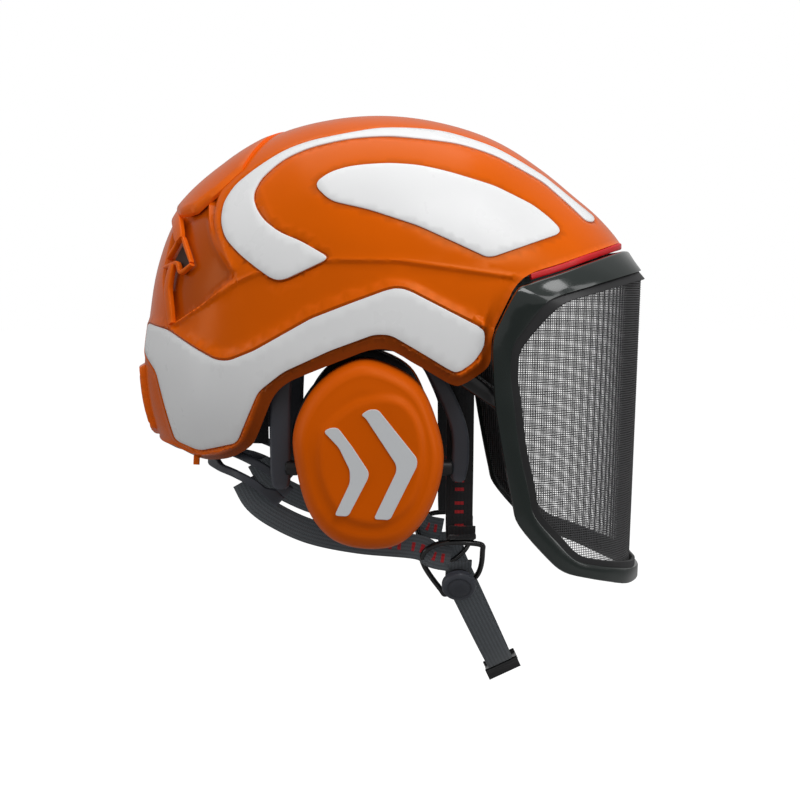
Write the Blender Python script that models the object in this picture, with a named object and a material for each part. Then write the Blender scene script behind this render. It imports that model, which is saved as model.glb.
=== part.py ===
"""Forestry hard hat with a tilting mesh visor, swinging ear defenders and a four-point chin strap.

Metres, +Z up. The face looks along -Y, the wearer's left is +X. The origin is the middle of the
wearer's head at the height of the ear tops. Lengths below are millimetres until mesh vertices are made.
"""

import math

import bpy
import bmesh
import numpy as np
from mathutils import Vector
from mathutils.geometry import delaunay_2d_cdt

MM = 0.001
RIGHT, LEFT = -1, 1
SIDES = {"right": RIGHT, "left": LEFT}

# The dome: polar curves about a cross axis, which is also the axis that the visor tilts on.
DOME_Y, DOME_Z = -21.5, 27.6
HALF_WIDTH = 108.0
ROUNDNESS = 2.3
SHELL_WALL = 3.2
# (degrees up from the front, radius) of the outline of the dome in its middle plane
PROFILE = [
    (-95, 123), (-60, 136), (-30, 144), (0, 146), (22, 143), (29, 138.5), (38, 132.5), (48, 129.3),
    (63, 128), (80, 127.7), (90, 129), (109, 134), (121, 139), (139, 146), (153, 151), (165, 151.4),
    (176, 151.7), (190, 157), (203, 159), (215, 153), (235, 138),
]
CHART = 120.0  # millimetres of chart for each radian, so that the chart is about true to scale
SEAM = 1e-4  # radians from the middle plane within which a chart point lies on it

# Outlines on one side of the dome as (y, z)
RIM = [
    (-150, 80), (-129, 73.5), (-110, 67), (-93, 62), (-85, 56), (-74.5, 35), (-71, 27.5), (-70.5, 9.5),
    (-55, -1), (-49.5, -1), (-38, 6), (-17.5, 18), (-13, 20), (-3, 19.5), (18.5, 11), (43, 1),
    (51, -6.5), (62, -33), (65.5, -38), (78, -45.5), (94.5, -48), (109, -43),
]
RIM_ENDS = (21.5, 205.0)  # degrees at which the rim meets the middle plane
SIDE_BAND = [
    (129.5, 33), (113, 29.5), (95, 19), (83, 13), (75.5, 12.7), (61, 18.5), (29, 36.5), (7, 45),
    (-13.5, 52.5), (-19.5, 53.5), (-25, 52), (-65, 31.5), (-67, 28.5), (-66.5, 21), (-61, 12.7),
    (-52, 6.7), (-48, 8), (-30, 19), (-15, 27.7), (-6, 28), (18.5, 19), (44.5, 7), (52.5, 0.8),
    (59, -4.5), (72, -34), (95, -40), (110, -35), (121, 5), (131.5, 16),
]
CROWN_STRIPE = [
    (-130, 91), (-137, 93.5), (-121.5, 105.7), (-105, 119), (-76.5, 135), (-48, 144), (-32, 145.5),
    (-9, 145.7), (30.5, 138), (46.5, 132), (63, 121), (74, 112), (80, 102), (81, 91), (78, 81.5),
    (70, 73), (61, 65.7), (50, 58), (44, 58), (18.5, 70), (34, 79), (47, 84.5), (56, 91.5), (61, 99),
    (62.7, 106.5), (58, 116), (46, 127), (30, 134), (8, 139), (-14, 140.5), (-53, 136.8),
    (-75.5, 130), (-104, 115), (-120, 101),
]
TOP_PANEL = [
    (28, 111.5), (19, 118.5), (7.5, 122), (-13.5, 123.7), (-31.5, 122.5), (-47, 119), (-74, 111),
    (-96, 100.5), (-107, 92), (-113, 85), (-69.5, 70), (-63.5, 72.8), (-31, 87.7), (-3, 97), (18.5, 102),
]
LINER_EDGE = [
    (-120, 92), (-80, 84), (-40, 74), (0, 68), (40, 62), (80, 54), (105, 48), (122, 45),
]
LINER_ENDS = (27.0, 171.0)

# The visor: a sheet that is a superellipse seen from above, bounded by a frame
VISOR_HALF_WIDTH, VISOR_DEPTH, VISOR_ROUNDNESS = 106.0, 107.8, 2.4
VISOR_TOP_Z, VISOR_LEAN = 59.0, 0.035
FRAME_WALL = 4.5
VISOR_RANGE_CLEARANCE = 2.4
MESH_DEPTHS = (1.0, 1.8)  # how far inside the sheet the two faces of the mesh lie
# (y, z) pairs up the side of the frame, from the bottom of its middle to the temple
FRAME_OUTER = [
    (-161, -121), (-160, -120.5), (-150, -118.5), (-138, -114.5), (-125, -110.5), (-112, -106), (-102, -97.5),
    (-86, -78.5), (-82, -65.5), (-77, -40), (-74, -22.5), (-72.3, -10), (-71, 11), (-71.3, 25), (-75, 35),
    (-84, 52),
]
FRAME_INNER = [
    (-161, -107.5), (-160, -107.2), (-155, -106.7), (-143, -103.5), (-131.5, -100.5), (-119.5, -96),
    (-108, -83.5), (-97.7, -70.7), (-94.8, -57), (-90.5, -38), (-88.4, -23), (-87, -10), (-85, 5.5),
    (-86.5, 18.5), (-94, 29), (-105.5, 41),
]
# the brow of the frame, which follows the shell: outer (y, z) on the dome, inner (y, z) on the sheet
BROW_OUTER = [(-91, 56), (-108, 61.5), (-127, 68), (-147, 74.3), (-157.5, 76)]
BROW_INNER = [(-115, 46.5), (-133, 51.5), (-150, 56), (-162, 58.5), (-167.5, 59)]

# Ear defenders
CUP_CENTRE = (-3.5, -39.0)
CUP_OUTLINE = [
    (-5, 14.5), (13, 11), (30, -4), (39.5, -25), (38.5, -46), (31, -72), (17, -88), (-3.5, -93),
    (-22, -89), (-37, -72), (-45, -46), (-42, -23), (-30, 2),
]
CUP_FACE_X = 113.0
YOKE_X, YOKE_WALL = (81.0, 86.0), 5.0
YOKE_AXIS = (83.0, 31.0)  # (x, z)
CUP_AXIS = (84.0, -48.0)  # (x, z)
CHEVRONS = {
    "small": [
        (22, -25), (18, -23), (14, -23), (6.5, -33), (-3, -47.5), (-2.5, -51), (8.5, -72), (16, -71.5),
        (7.5, -53.5), (7.5, -46.5), (13.5, -34),
    ],
    "large": [
        (1.5, -16), (-3, -13), (-8, -13), (-29.5, -40), (-29.5, -44), (-14.5, -74), (-5.5, -73.5),
        (-18, -47.5), (-18, -43.5), (-1, -17.5),
    ],
}

# Headband: an ellipse that rises towards the brow, with a ratchet at the nape
BAND_Y, BAND_HALF_X, BAND_HALF_Y = -10.0, 76.0, 102.0
BAND_SLOPE, BAND_MID_Z = 0.42, 36.0
BAND_END = 150.0
RATCHET_Y, RATCHET_Z = 26.0, -2.0

# Straps
WEBBING_WIDTH, WEBBING_THICKNESS = 15.7, 1.4
RING_CENTRE = (60.0, -52.0, -107.0)
RING_TILT = math.radians(30)
RING_OUTLINE = [(18.5, 3.8), (9, 15), (-13.5, 15), (-16.5, 9), (-13.5, -9), (2.5, -22), (7.5, -18.5)]
BUTTON_AT, BUTTON_RADIUS = (-3.0, -9.7), 10.0
CHIN_END = (52.4, -59.5, -126.0)  # where the chin strap starts, over the foot of the ring

ORANGE, WHITE, BLACK = (0.69, 0.107, 0.0), (0.84, 0.84, 0.84), (0.013, 0.013, 0.014)
FRAME_GREEN, SLATE, WEB_GREY = (0.013, 0.02, 0.018), (0.042, 0.045, 0.058), (0.13, 0.145, 0.16)
FOAM, RED, STEEL = (0.03, 0.03, 0.032), (0.75, 0.005, 0.013), (0.5, 0.5, 0.5)


# ---------------------------------------------------------------- mesh helpers

def clear_scene():
    for obj in list(bpy.data.objects):
        bpy.data.objects.remove(obj)


def material(name, colour, roughness, metallic=0.0):
    made = bpy.data.materials.new(name)
    made.use_nodes = True
    shader = made.node_tree.nodes["Principled BSDF"]
    shader.inputs["Base Color"].default_value = (*colour, 1)
    shader.inputs["Roughness"].default_value = roughness
    shader.inputs["Metallic"].default_value = metallic
    return made


def add(name, points, faces, finish, origin=(0, 0, 0)):
    """An object from points in millimetres, with its own origin and material, and faces turned outwards."""
    bm = bmesh.new()
    verts = [bm.verts.new((Vector(p) - Vector(origin)) * MM) for p in points]
    for face in faces:
        bm.faces.new([verts[i] for i in face])
    bmesh.ops.recalc_face_normals(bm, faces=bm.faces)
    if bm.calc_volume(signed=True) < 0:
        bmesh.ops.reverse_faces(bm, faces=bm.faces)
    mesh = bpy.data.meshes.new(name)
    bm.to_mesh(mesh)
    bm.free()
    mesh.shade_smooth()
    mesh.set_sharp_from_angle(angle=math.radians(35))
    obj = bpy.data.objects.new(name, mesh)
    obj.location = Vector(origin) * MM
    obj.data.materials.append(material(name, *finish))
    bpy.context.scene.collection.objects.link(obj)
    return obj


def stack(name, rings, finish, origin=(0, 0, 0), closed=False):
    """A solid through rings of points, each with as many points, capped at both ends or closed round."""
    count = len(rings[0])
    points = [p for ring in rings for p in ring]
    faces = []
    for k in range(len(rings) if closed else len(rings) - 1):
        a, b = k * count, (k + 1) % len(rings) * count
        for i in range(count):
            j = (i + 1) % count
            faces.append((a + i, a + j, b + j, b + i))
    if not closed:
        faces.append(tuple(range(count)))
        faces.append(tuple(range(len(points) - count, len(points))))
    return add(name, points, faces, finish, origin)


def cut(obj, cutter):
    """Takes the cutter out of the object for good."""
    apply_boolean(obj, cutter, "DIFFERENCE")


def join(obj, other):
    apply_boolean(obj, other, "UNION")


def apply_boolean(obj, other, operation):
    modifier = obj.modifiers.new(operation.lower(), "BOOLEAN")
    modifier.operation = operation
    modifier.object = other
    bpy.context.view_layer.update()
    graph = bpy.context.evaluated_depsgraph_get()
    mesh = bpy.data.meshes.new_from_object(obj.evaluated_get(graph))
    obj.modifiers.remove(modifier)
    obj.data = mesh
    mesh.materials.clear()
    mesh.materials.append(bpy.data.materials[obj.name])
    mesh.shade_smooth()
    mesh.set_sharp_from_angle(angle=math.radians(35))
    bpy.data.objects.remove(other)


def curve(points, per_span, closed=False):
    """Points on a Catmull-Rom curve through the given ones."""
    pts = [np.array(p, float) for p in points]
    n = len(pts)
    found = []
    for i in range(n if closed else n - 1):
        if closed:
            a, b, c, d = (pts[(i + k) % n] for k in (-1, 0, 1, 2))
        else:
            b, c = pts[i], pts[i + 1]
            a = pts[i - 1] if i else 2 * b - c
            d = pts[i + 2] if i + 2 < n else 2 * c - b
        for k in range(per_span):
            t = k / per_span
            found.append(0.5 * (2 * b + (c - a) * t + (2 * a - 5 * b + 4 * c - d) * t**2
                                + (3 * b - a - 3 * c + d) * t**3))
    if not closed:
        found.append(pts[-1])
    return found


def ribbon(name, path, widths, thickness, width_way, finish, origin=(0, 0, 0)):
    """A flat bar along a path. width_way is the direction of its width at each point, or one for all."""
    path = [np.array(p, float) for p in path]
    ways = [np.array(width_way, float)] * len(path) if np.ndim(width_way) == 1 else width_way
    sizes = [widths] * len(path) if np.ndim(widths) == 0 else widths
    rings = []
    for i, p in enumerate(path):
        along = path[min(i + 1, len(path) - 1)] - path[max(i - 1, 0)]
        along /= np.linalg.norm(along)
        way = np.array(ways[i], float)
        way -= along * (way @ along)
        way /= np.linalg.norm(way)
        out = np.cross(along, way)
        w, t = way * sizes[i] / 2, out * thickness / 2
        rings.append([p - w - t, p + w - t, p + w + t, p - w + t])
    return stack(name, rings, finish, origin)


def rod(name, start, end, radius, finish, origin=(0, 0, 0), sides=16, chamfer=0.0):
    """A round bar between two points, with chamfered ends where asked."""
    start, end = np.array(start, float), np.array(end, float)
    along = (end - start) / np.linalg.norm(end - start)
    first = np.cross(along, (0, 0, 1) if abs(along[2]) < 0.9 else (0, 1, 0))
    first /= np.linalg.norm(first)
    second = np.cross(along, first)
    steps = [(start, radius), (end, radius)]
    if chamfer:
        steps = [(start, radius - chamfer), (start + along * chamfer, radius),
                 (end - along * chamfer, radius), (end, radius - chamfer)]
    angles = [2 * math.pi * k / sides for k in range(sides)]
    rings = [[centre + (first * math.cos(a) + second * math.sin(a)) * r for a in angles] for centre, r in steps]
    return stack(name, rings, finish, origin)


# ---------------------------------------------------------------- the dome

def profile_radius(degrees):
    """Radius of the dome's outline at this angle, by cubic interpolation of the profile."""
    angles = [p[0] for p in PROFILE]
    radii = [p[1] for p in PROFILE]
    slopes = np.gradient(radii, angles)
    i = int(np.clip(np.searchsorted(angles, degrees) - 1, 0, len(angles) - 2))
    span = angles[i + 1] - angles[i]
    t = (degrees - angles[i]) / span
    return ((2 * t**3 - 3 * t**2 + 1) * radii[i] + (t**3 - 2 * t**2 + t) * span * slopes[i]
            + (3 * t**2 - 2 * t**3) * radii[i + 1] + (t**3 - t**2) * span * slopes[i + 1])


def polar(y, z):
    """(degrees, share of the outline's radius) of a point seen from the side."""
    degrees = math.degrees(math.atan2(z - DOME_Z, DOME_Y - y))
    if degrees < -95:
        degrees += 360
    return degrees, math.hypot(y - DOME_Y, z - DOME_Z) / profile_radius(degrees)


def to_chart(y, z):
    """Where a point of the side view lies on the flat chart of half the dome."""
    degrees, share = polar(y, z)
    reach = CHART * math.asin(min(share, 1.0) ** (ROUNDNESS / 2))
    return reach * math.cos(math.radians(degrees)), reach * math.sin(math.radians(degrees))


def from_chart(u, v):
    """(x, y, z) on the left half of the dome, its outward normal, degrees and share of the radius."""
    reach = min(math.hypot(u, v) / CHART, math.pi / 2)
    degrees = math.degrees(math.atan2(v, u))
    if degrees < -95:
        degrees += 360
    share = math.sin(reach) ** (2 / ROUNDNESS)
    x = HALF_WIDTH * max(math.cos(reach), 0.0) ** (2 / ROUNDNESS)
    if reach > math.pi / 2 - SEAM:
        x = 0.0
    size = profile_radius(degrees)
    turn = math.radians(degrees)
    point = np.array([x, DOME_Y - share * size * math.cos(turn), DOME_Z + share * size * math.sin(turn)])
    grow = (profile_radius(degrees + 1) - profile_radius(degrees - 1)) / math.radians(2) / size
    radial = np.array([0, -math.cos(turn), math.sin(turn)])
    around = np.array([0, math.sin(turn), math.cos(turn)])
    side = (x / HALF_WIDTH) ** (ROUNDNESS - 1) / HALF_WIDTH
    normal = np.array([side, 0, 0]) + (radial - around * grow) * share ** (ROUNDNESS - 1) / size
    return point, normal / np.linalg.norm(normal), degrees, share


def dome_half_width(y, z):
    """x of the dome where a line across passes (y, z), or 0 outside it."""
    _, share = polar(y, z)
    return HALF_WIDTH * max(1 - share**ROUNDNESS, 0.0) ** (1 / ROUNDNESS)


def subdivide(outline, spacing, closed=True):
    found = []
    for i in range(len(outline) if closed else len(outline) - 1):
        a, b = np.array(outline[i], float), np.array(outline[(i + 1) % len(outline)], float)
        steps = max(1, round(np.linalg.norm(b - a) / spacing))
        found += [a + (b - a) * k / steps for k in range(steps)]
    return found if closed else found + [np.array(outline[-1], float)]


def edge_distance(point, loop):
    a = np.array(loop)
    b = np.roll(a, -1, axis=0)
    t = np.clip(((point - a) * (b - a)).sum(1) / ((b - a) ** 2).sum(1), 0, 1)
    return np.linalg.norm(point - a - (b - a) * t[:, None], axis=1).min()


def tessellate(loop, spacing):
    """Points and triangles inside a closed loop of chart points, on a triangular grid."""
    loop = [np.array(p, float) for p in loop]
    low, high = np.min(loop, axis=0), np.max(loop, axis=0)
    inner = []
    row = 0
    v = low[1] + spacing / 2
    while v < high[1]:
        u = low[0] + spacing * (0.5 if row % 2 else 1.0)
        while u < high[0]:
            if edge_distance(np.array([u, v]), loop) > 0.55 * spacing:
                inner.append(np.array([u, v]))
            u += spacing
        v += spacing * 0.87
        row += 1
    count = len(loop)
    verts, _, faces, *_ = delaunay_2d_cdt(
        [Vector(p) for p in loop + inner], [], [list(range(count))], 1, 1e-4
    )
    return [np.array(v) for v in verts], [tuple(f) for f in faces]


def open_edges(faces):
    edges = {}
    for face in faces:
        for a, b in zip(face, face[1:] + face[:1]):
            edges[a, b] = True
    return [(a, b) for a, b in edges if (b, a) not in edges]


def layer(name, chart_loop, inner, outer, finish, spacing, side=None):
    """A skin between two offsets of the dome over a chart loop: one side of it, or both joined on top."""
    flat, faces = tessellate(chart_loop, spacing)
    used = sorted({i for face in faces for i in face})
    places = {old: new for new, old in enumerate(used)}
    faces = [tuple(places[i] for i in face) for face in faces]
    spots = [from_chart(*flat[i]) for i in used]
    count = len(spots)
    heights = [(outer(s[2], s[3]) if callable(outer) else outer) for s in spots]
    top = [s[0] + s[1] * h for s, h in zip(spots, heights)]
    low = [s[0] + s[1] * inner for s in spots]
    seam = [s[0][0] == 0 for s in spots]
    for points in (top, low):
        for k, on_seam in enumerate(seam):
            if on_seam:
                points[k][0] = 0.0
    solid = list(faces) + [tuple(count + i for i in reversed(face)) for face in faces]
    for a, b in open_edges(faces):
        if not (side is None and seam[a] and seam[b]):
            solid.append((b, a, count + a, count + b))
    points = top + low
    if side is not None:
        return add(name, [p * (side, 1, 1) for p in points], solid, finish)
    twins, mirrored = {}, []
    for k, p in enumerate(points):
        if seam[k % count]:
            twins[k] = k
        else:
            twins[k] = len(points) + len(mirrored)
            mirrored.append(p * (-1, 1, 1))
    solid += [tuple(twins[i] for i in reversed(face)) for face in solid]
    return add(name, points + mirrored, solid, finish)


def middle_arc(start, end, spacing):
    """Chart points along the middle plane, between two angles."""
    steps = max(2, round(abs(end - start) / 57.3 * CHART * math.pi / 2 / spacing))
    reach = CHART * math.pi / 2
    angles = [math.radians(start + (end - start) * k / steps) for k in range(steps + 1)]
    return [np.array([reach * math.cos(a), reach * math.sin(a)]) for a in angles]


def half_region(edge, ends, spacing):
    """The chart loop of half the dome above an edge: along the edge, then back over the middle plane."""
    corners = middle_arc(ends[0], ends[1], spacing)
    lower = [corners[0]] + [np.array(to_chart(*p)) for p in edge] + [corners[-1]]
    return subdivide(lower, spacing, closed=False)[:-1] + corners[:0:-1]


def chart_outline(outline, spacing):
    return subdivide([to_chart(*p) for p in outline], spacing)


# ---------------------------------------------------------------- shell and its trim

def hood_height(degrees, share):
    """The rear hood rises towards its vent and falls away at its sides."""
    along = np.clip((degrees - 137) / 16, 0, 1)
    return 1.4 + 2.6 * along * np.clip((share - 0.93) / 0.05, 0, 1)


def make_shell():
    layer("outer_shell", half_region(RIM, RIM_ENDS, 19), -SHELL_WALL, 0.0, (ORANGE, 0.22), 19)
    for word, side in SIDES.items():
        for name, outline in (("side_band", SIDE_BAND), ("crown_stripe", CROWN_STRIPE), ("top_panel", TOP_PANEL)):
            layer(f"{name}_{word}", chart_outline(outline, 16), 0.75, 1.6, (WHITE, 0.25), 16, side)
    hood = [middle_arc(137, 153.5, 9), [np.array(to_chart(*p)) for p in ((112, 92), (97, 97), (84, 108))]]
    layer("rear_vent_hood", subdivide(hood[0] + hood[1], 9), 0.5, hood_height, (ORANGE, 0.22), 8)
    bumper = [middle_arc(187, 203.5, 8), [np.array(to_chart(*p)) for p in ((125, -30), (131, 8))]]
    layer("nape_bumper", subdivide(bumper[0] + bumper[1], 8), 0.5, 3.5, (ORANGE, 0.25), 8)
    layer("impact_liner", half_region(LINER_EDGE, LINER_ENDS, 27), -17.0, -5.5, (FOAM, 0.9), 27)
    pad_edge = [(-75, 100), (-45, 112), (0, 116), (40, 110)]
    layer("crown_pad", half_region(pad_edge, (62, 122), 26), -26.0, -19.5, (BLACK, 0.95), 26)


def make_brow_seal():
    edge = [(y, z - 2.8) for y, z in RIM[:4]]
    half = [np.array([dome_half_width(y, z) - 1.8, y, z]) for y, z in reversed(edge)]
    middle = [np.array([0, -152.8, 77.3])]
    path = half + middle + [p * (-1, 1, 1) for p in reversed(half)]
    ribbon("brow_seal", curve(path, 3), 2.0, 2.2, (0, 0, 1), (RED, 0.4))


# ---------------------------------------------------------------- visor

def sheet_x(y, z, offset=0.0):
    """x of the visor sheet at a side-view point, moved out by the offset."""
    depth = VISOR_DEPTH + offset
    back = -60 + (VISOR_TOP_Z - z) * VISOR_LEAN
    ahead = np.clip((back - y) / depth, 0, 1)
    return (VISOR_HALF_WIDTH + offset) * (1 - ahead**VISOR_ROUNDNESS) ** (1 / VISOR_ROUNDNESS)


def sheet_y(share, z, offset=0.0):
    """y of the visor sheet at a share of its depth."""
    return -60 + (VISOR_TOP_Z - z) * VISOR_LEAN - share * (VISOR_DEPTH + offset)


def sheet_point(y, z, offset):
    """The sheet's point nearest a side-view point, moved out along the sheet's normal seen from above."""
    back = -60 + (VISOR_TOP_Z - z) * VISOR_LEAN
    ahead = min((back - y) / VISOR_DEPTH, 1.0)
    x = VISOR_HALF_WIDTH * (1 - ahead**VISOR_ROUNDNESS) ** (1 / VISOR_ROUNDNESS)
    power = VISOR_ROUNDNESS - 1
    out = np.array([(x / VISOR_HALF_WIDTH) ** power / VISOR_HALF_WIDTH, -(ahead**power) / VISOR_DEPTH, 0.0])
    out /= np.linalg.norm(out)
    return np.array([x, back - ahead * VISOR_DEPTH, z]) + out * offset


def halved(points):
    """The points with another midway between each two."""
    found = []
    for (y, z), (after_y, after_z) in zip(points, points[1:]):
        found += [(y, z), ((y + after_y) / 2, (z + after_z) / 2)]
    return found + [points[-1]]


def frame_sections():
    """Half of the frame, from the bottom of its middle to the brow, as rings of four corners."""
    sections = []
    for (yo, zo), (yi, zi) in zip(halved(FRAME_OUTER), halved(FRAME_INNER)):
        sections.append([sheet_point(yo, zo, 0.0), sheet_point(yo, zo, FRAME_WALL),
                         sheet_point(yi, zi, FRAME_WALL), sheet_point(yi, zi, 0.0)])
    for (yo, zo), (yi, zi) in zip(halved(BROW_OUTER), halved(BROW_INNER)):
        x = dome_half_width(yo, zo)
        near = np.array([x + VISOR_RANGE_CLEARANCE if x else 0.0, yo, zo])
        away = near + (sheet_point(yi, zi, FRAME_WALL) - sheet_point(yi, zi, 0.0)) * 0.8
        sections.append([near, away, sheet_point(yi, zi, FRAME_WALL), sheet_point(yi, zi, 0.0)])
    for section in (sections[0], sections[-1]):
        for corner in section:
            corner[0] = 0.0
    return sections


def make_visor():
    axis = (0, DOME_Y, DOME_Z)
    half = frame_sections()
    loop = [[p * (side, 1, 1) for p in ring] for side, part in ((1, half), (-1, half[-2:0:-1])) for ring in part]
    stack("visor_frame", loop, (FRAME_GREEN, 0.2), axis, closed=True)
    rows = []
    edge = [((yo * 0.65 + yi * 0.35), (zo * 0.65 + zi * 0.35))
            for (yo, zo), (yi, zi) in zip(FRAME_OUTER[2:-1], FRAME_INNER[2:-1])]
    edge += [(yi + 1.0, zi - 1.0) for yi, zi in BROW_INNER[:-1]]
    columns = 24
    for y, z in edge:
        limit = sheet_x(y, z)
        start = math.acos(min((limit / VISOR_HALF_WIDTH) ** (VISOR_ROUNDNESS / 2), 1.0))
        row = []
        for k in range(columns + 1):
            turn = start + (math.pi - 2 * start) * k / columns
            x = VISOR_HALF_WIDTH * abs(math.cos(turn)) ** (2 / VISOR_ROUNDNESS)
            share = math.sin(turn) ** (2 / VISOR_ROUNDNESS)
            spot = sheet_point(sheet_y(share, z), z, 0.0)
            out = sheet_point(sheet_y(share, z), z, 1.0) - spot
            spot[0] = x
            flip = np.array([-1.0 if math.cos(turn) > 0 else 1.0, 1, 1])
            row.append(((spot - out * MESH_DEPTHS[1]) * flip, (spot - out * MESH_DEPTHS[0]) * flip))
        rows.append(row)
    rings = [[a for a, _ in row] + [b for _, b in reversed(row)] for row in rows]
    stack("visor_mesh", rings, ((0.1, 0.1, 0.1), 0.5), axis)
    for word, side in SIDES.items():
        make_visor_arm(word, side)


def make_visor_arm(word, side):
    """A flat lever from the pivot under the shell to the inner face of the frame."""
    axis = (side * 93.0, DOME_Y, DOME_Z)
    turn = math.radians(-35)
    ahead = np.array([0, -math.cos(turn), math.sin(turn)])
    across = (0, math.sin(turn), math.cos(turn))
    hub = np.array(axis)
    stops = [(0, 0, 12), (30, 0, 10), (55, 0, 9), (66, 0, 9), (72, 4.4, 9), (78, 4.4, 8)]
    path = [hub + ahead * reach + np.array([side * out, 0, 0]) for reach, out, _ in stops]
    arm = ribbon(f"visor_arm_{word}", path, [s[2] for s in stops], 3.6, across, (BLACK, 0.3), axis)
    disc = rod("hub", hub - (side * 2, 0, 0), hub + (side * 2, 0, 0), 10, (BLACK, 0.3), sides=24)
    join(arm, disc)
    cut(arm, rod("bore", hub - (9, 0, 0), hub + (9, 0, 0), 4.4, (BLACK, 0.3), sides=20))
    pivot = rod(f"visor_pivot_{word}", hub - (side * 2.8, 0, 0), hub + (side * 11.2, 0, 0), 4, (STEEL, 0.3, 1.0),
                axis, 20)
    join(pivot, rod("head", hub - (side * 4.8, 0, 0), hub - (side * 2.5, 0, 0), 8, (STEEL, 0.3), sides=20))


# ---------------------------------------------------------------- ear defenders

def cup_ring(scale, x, shift=(0.0, 0.0)):
    outline = curve(CUP_OUTLINE, 2, closed=True)
    cy, cz = CUP_CENTRE
    return [np.array([x, cy + (y - cy) * scale + shift[0], cz + (z - cz) * scale + shift[1]]) for y, z in outline]


def make_ear_defender(word, side):
    flip = np.array([side, 1, 1])
    axis = (side * CUP_AXIS[0], 0, CUP_AXIS[1])

    def solid(name, sections, finish, closed=False):
        rings = [[p * flip for p in cup_ring(*section)] for section in sections]
        return stack(f"{name}_{word}", rings, finish, axis, closed)

    solid("ear_cup", [
        (0.60, 109.5), (0.80, 108.0), (0.91, 102.0), (0.92, 81.2), (0.97, 81.0), (1.0, 84.0), (1.0, 98.0),
        (0.97, 104.0), (0.90, 109.0), (0.80, 112.0), (0.72, CUP_FACE_X), (0.3, CUP_FACE_X),
    ], (ORANGE, 0.3))
    cut(bpy.data.objects[f"ear_cup_{word}"],
        rod("bore", (axis[0], -60, axis[2]), (axis[0], 60, axis[2]), 2.4, (ORANGE, 0.3), sides=12))
    solid("ear_foam", [(0.5, 106.5), (0.74, 106.0), (0.87, 100.0), (0.87, 90.0), (0.4, 90.0)], (FOAM, 0.95))
    tuck = (1.5, 1.0)
    solid("ear_cushion", [
        (0.64, 80.5, tuck), (0.96, 80.5, tuck), (1.0, 78.0, tuck), (0.99, 73.5, tuck), (0.92, 70.5, tuck),
        (0.72, 70.5, tuck), (0.64, 74.0, tuck),
    ], (BLACK, 0.6), closed=True)
    for size, outline in CHEVRONS.items():
        rings = [[np.array([x, y, z]) * flip for y, z in outline] for x in (CUP_FACE_X + 0.4, CUP_FACE_X + 1.3)]
        stack(f"chevron_{size}_{word}", rings, (WHITE, 0.3), axis)
    make_yoke(word, side)


def make_yoke(word, side):
    """A fork over the cup, hung on a hinge under the shell."""
    axis = (side * YOKE_AXIS[0], 0, YOKE_AXIS[1])
    route = [(47, -60), (47, -48), (47, -8), (42, 12), (30, 22), (0, 22), (-24, 20), (-36, 11), (-47, -8),
             (-54, -27), (-54.5, -44), (-53, -56)]
    widths = [10, 13, 12, 9, 7, 7, 7, 8, 9, 9.5, 10, 8]
    x = side * sum(YOKE_X) / 2
    path = curve([(x, y, z) for y, z in route], 2)
    sizes = np.interp(np.linspace(0, 1, len(path)), np.linspace(0, 1, len(widths)), widths)
    ways = []
    for i in range(len(path)):
        along = path[min(i + 1, len(path) - 1)] - path[max(i - 1, 0)]
        ways.append(np.cross(along, (1, 0, 0)))
    yoke = ribbon(f"ear_yoke_{word}", path, sizes, YOKE_WALL, ways, (SLATE, 0.35), axis)
    for y in (2.0, 24.0):
        knuckle = rod("knuckle", (axis[0], y, axis[2]), (axis[0], y + 7, axis[2]), 4.5, (SLATE, 0.35), sides=16)
        web = [[np.array([x + dx, yy, z]) for dx, z in ((-2, 21), (2, 21), (2, 31), (-2, 31))] for yy in (y, y + 7)]
        join(knuckle, stack("web", web, (SLATE, 0.35)))
        join(yoke, knuckle)
    cut(yoke, rod("bore", (axis[0], -2, axis[2]), (axis[0], 36, axis[2]), 2.4, (SLATE, 0.35), sides=16))
    for start, end in ((42.0, 37.5), (-51.0, -43.5)):
        spot = np.array([side * CUP_AXIS[0], 0, CUP_AXIS[1]])
        join(yoke, rod("stub", spot + (0, start, 0), spot + (0, end, 0), 2.0, (SLATE, 0.35), sides=12))
    bracket = rod(f"ear_bracket_{word}", (axis[0], 9.6, axis[2]), (axis[0], 23.4, axis[2]), 4.5, (BLACK, 0.4), sides=16)
    post = [[np.array([side * px, y, z]) for px, z in ((83, 31), (83, 35.5), (101, 44), (101, 36))]
            for y in (9.6, 23.4)]
    join(bracket, stack("post", post, (BLACK, 0.4)))
    join(bracket, rod("pin", (axis[0], 0.5, axis[2]), (axis[0], 32.5, axis[2]), 2.0, (STEEL, 0.3), sides=16))


# ---------------------------------------------------------------- headband and ratchet

def band_point(degrees, out=0.0, up=0.0):
    """A point round the headband, from the brow: out grows the ellipse, up moves along the head."""
    turn = math.radians(degrees)
    y = -(BAND_HALF_Y + out) * math.cos(turn)
    return np.array([(BAND_HALF_X + out) * math.sin(turn), BAND_Y + y, BAND_MID_Z - BAND_SLOPE * y + up])


def band_strip(name, end, out, thickness, heights, finish):
    """A strip round the brow to this angle on both sides, as high at the brow and at its ends as heights say."""
    count = round(end / 6)
    angles = [-end + 12 * k for k in range(count + 1)]
    path = [band_point(angle, out) for angle in angles]
    sizes = [heights[0] + (heights[1] - heights[0]) * math.sin(math.radians(min(abs(a), 90))) for a in angles]
    ribbon(name, path, sizes, thickness, (0, 0, 1), finish)


def arc_section(degrees, inner, outer, low, high):
    turn = math.radians(degrees)
    ways = np.array([math.sin(turn), math.cos(turn)])
    corners = ((inner, low), (outer, low), (outer, high), (inner, high))
    return [np.array([r * ways[0], RATCHET_Y + r * ways[1], RATCHET_Z + z]) for r, z in corners]


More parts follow.
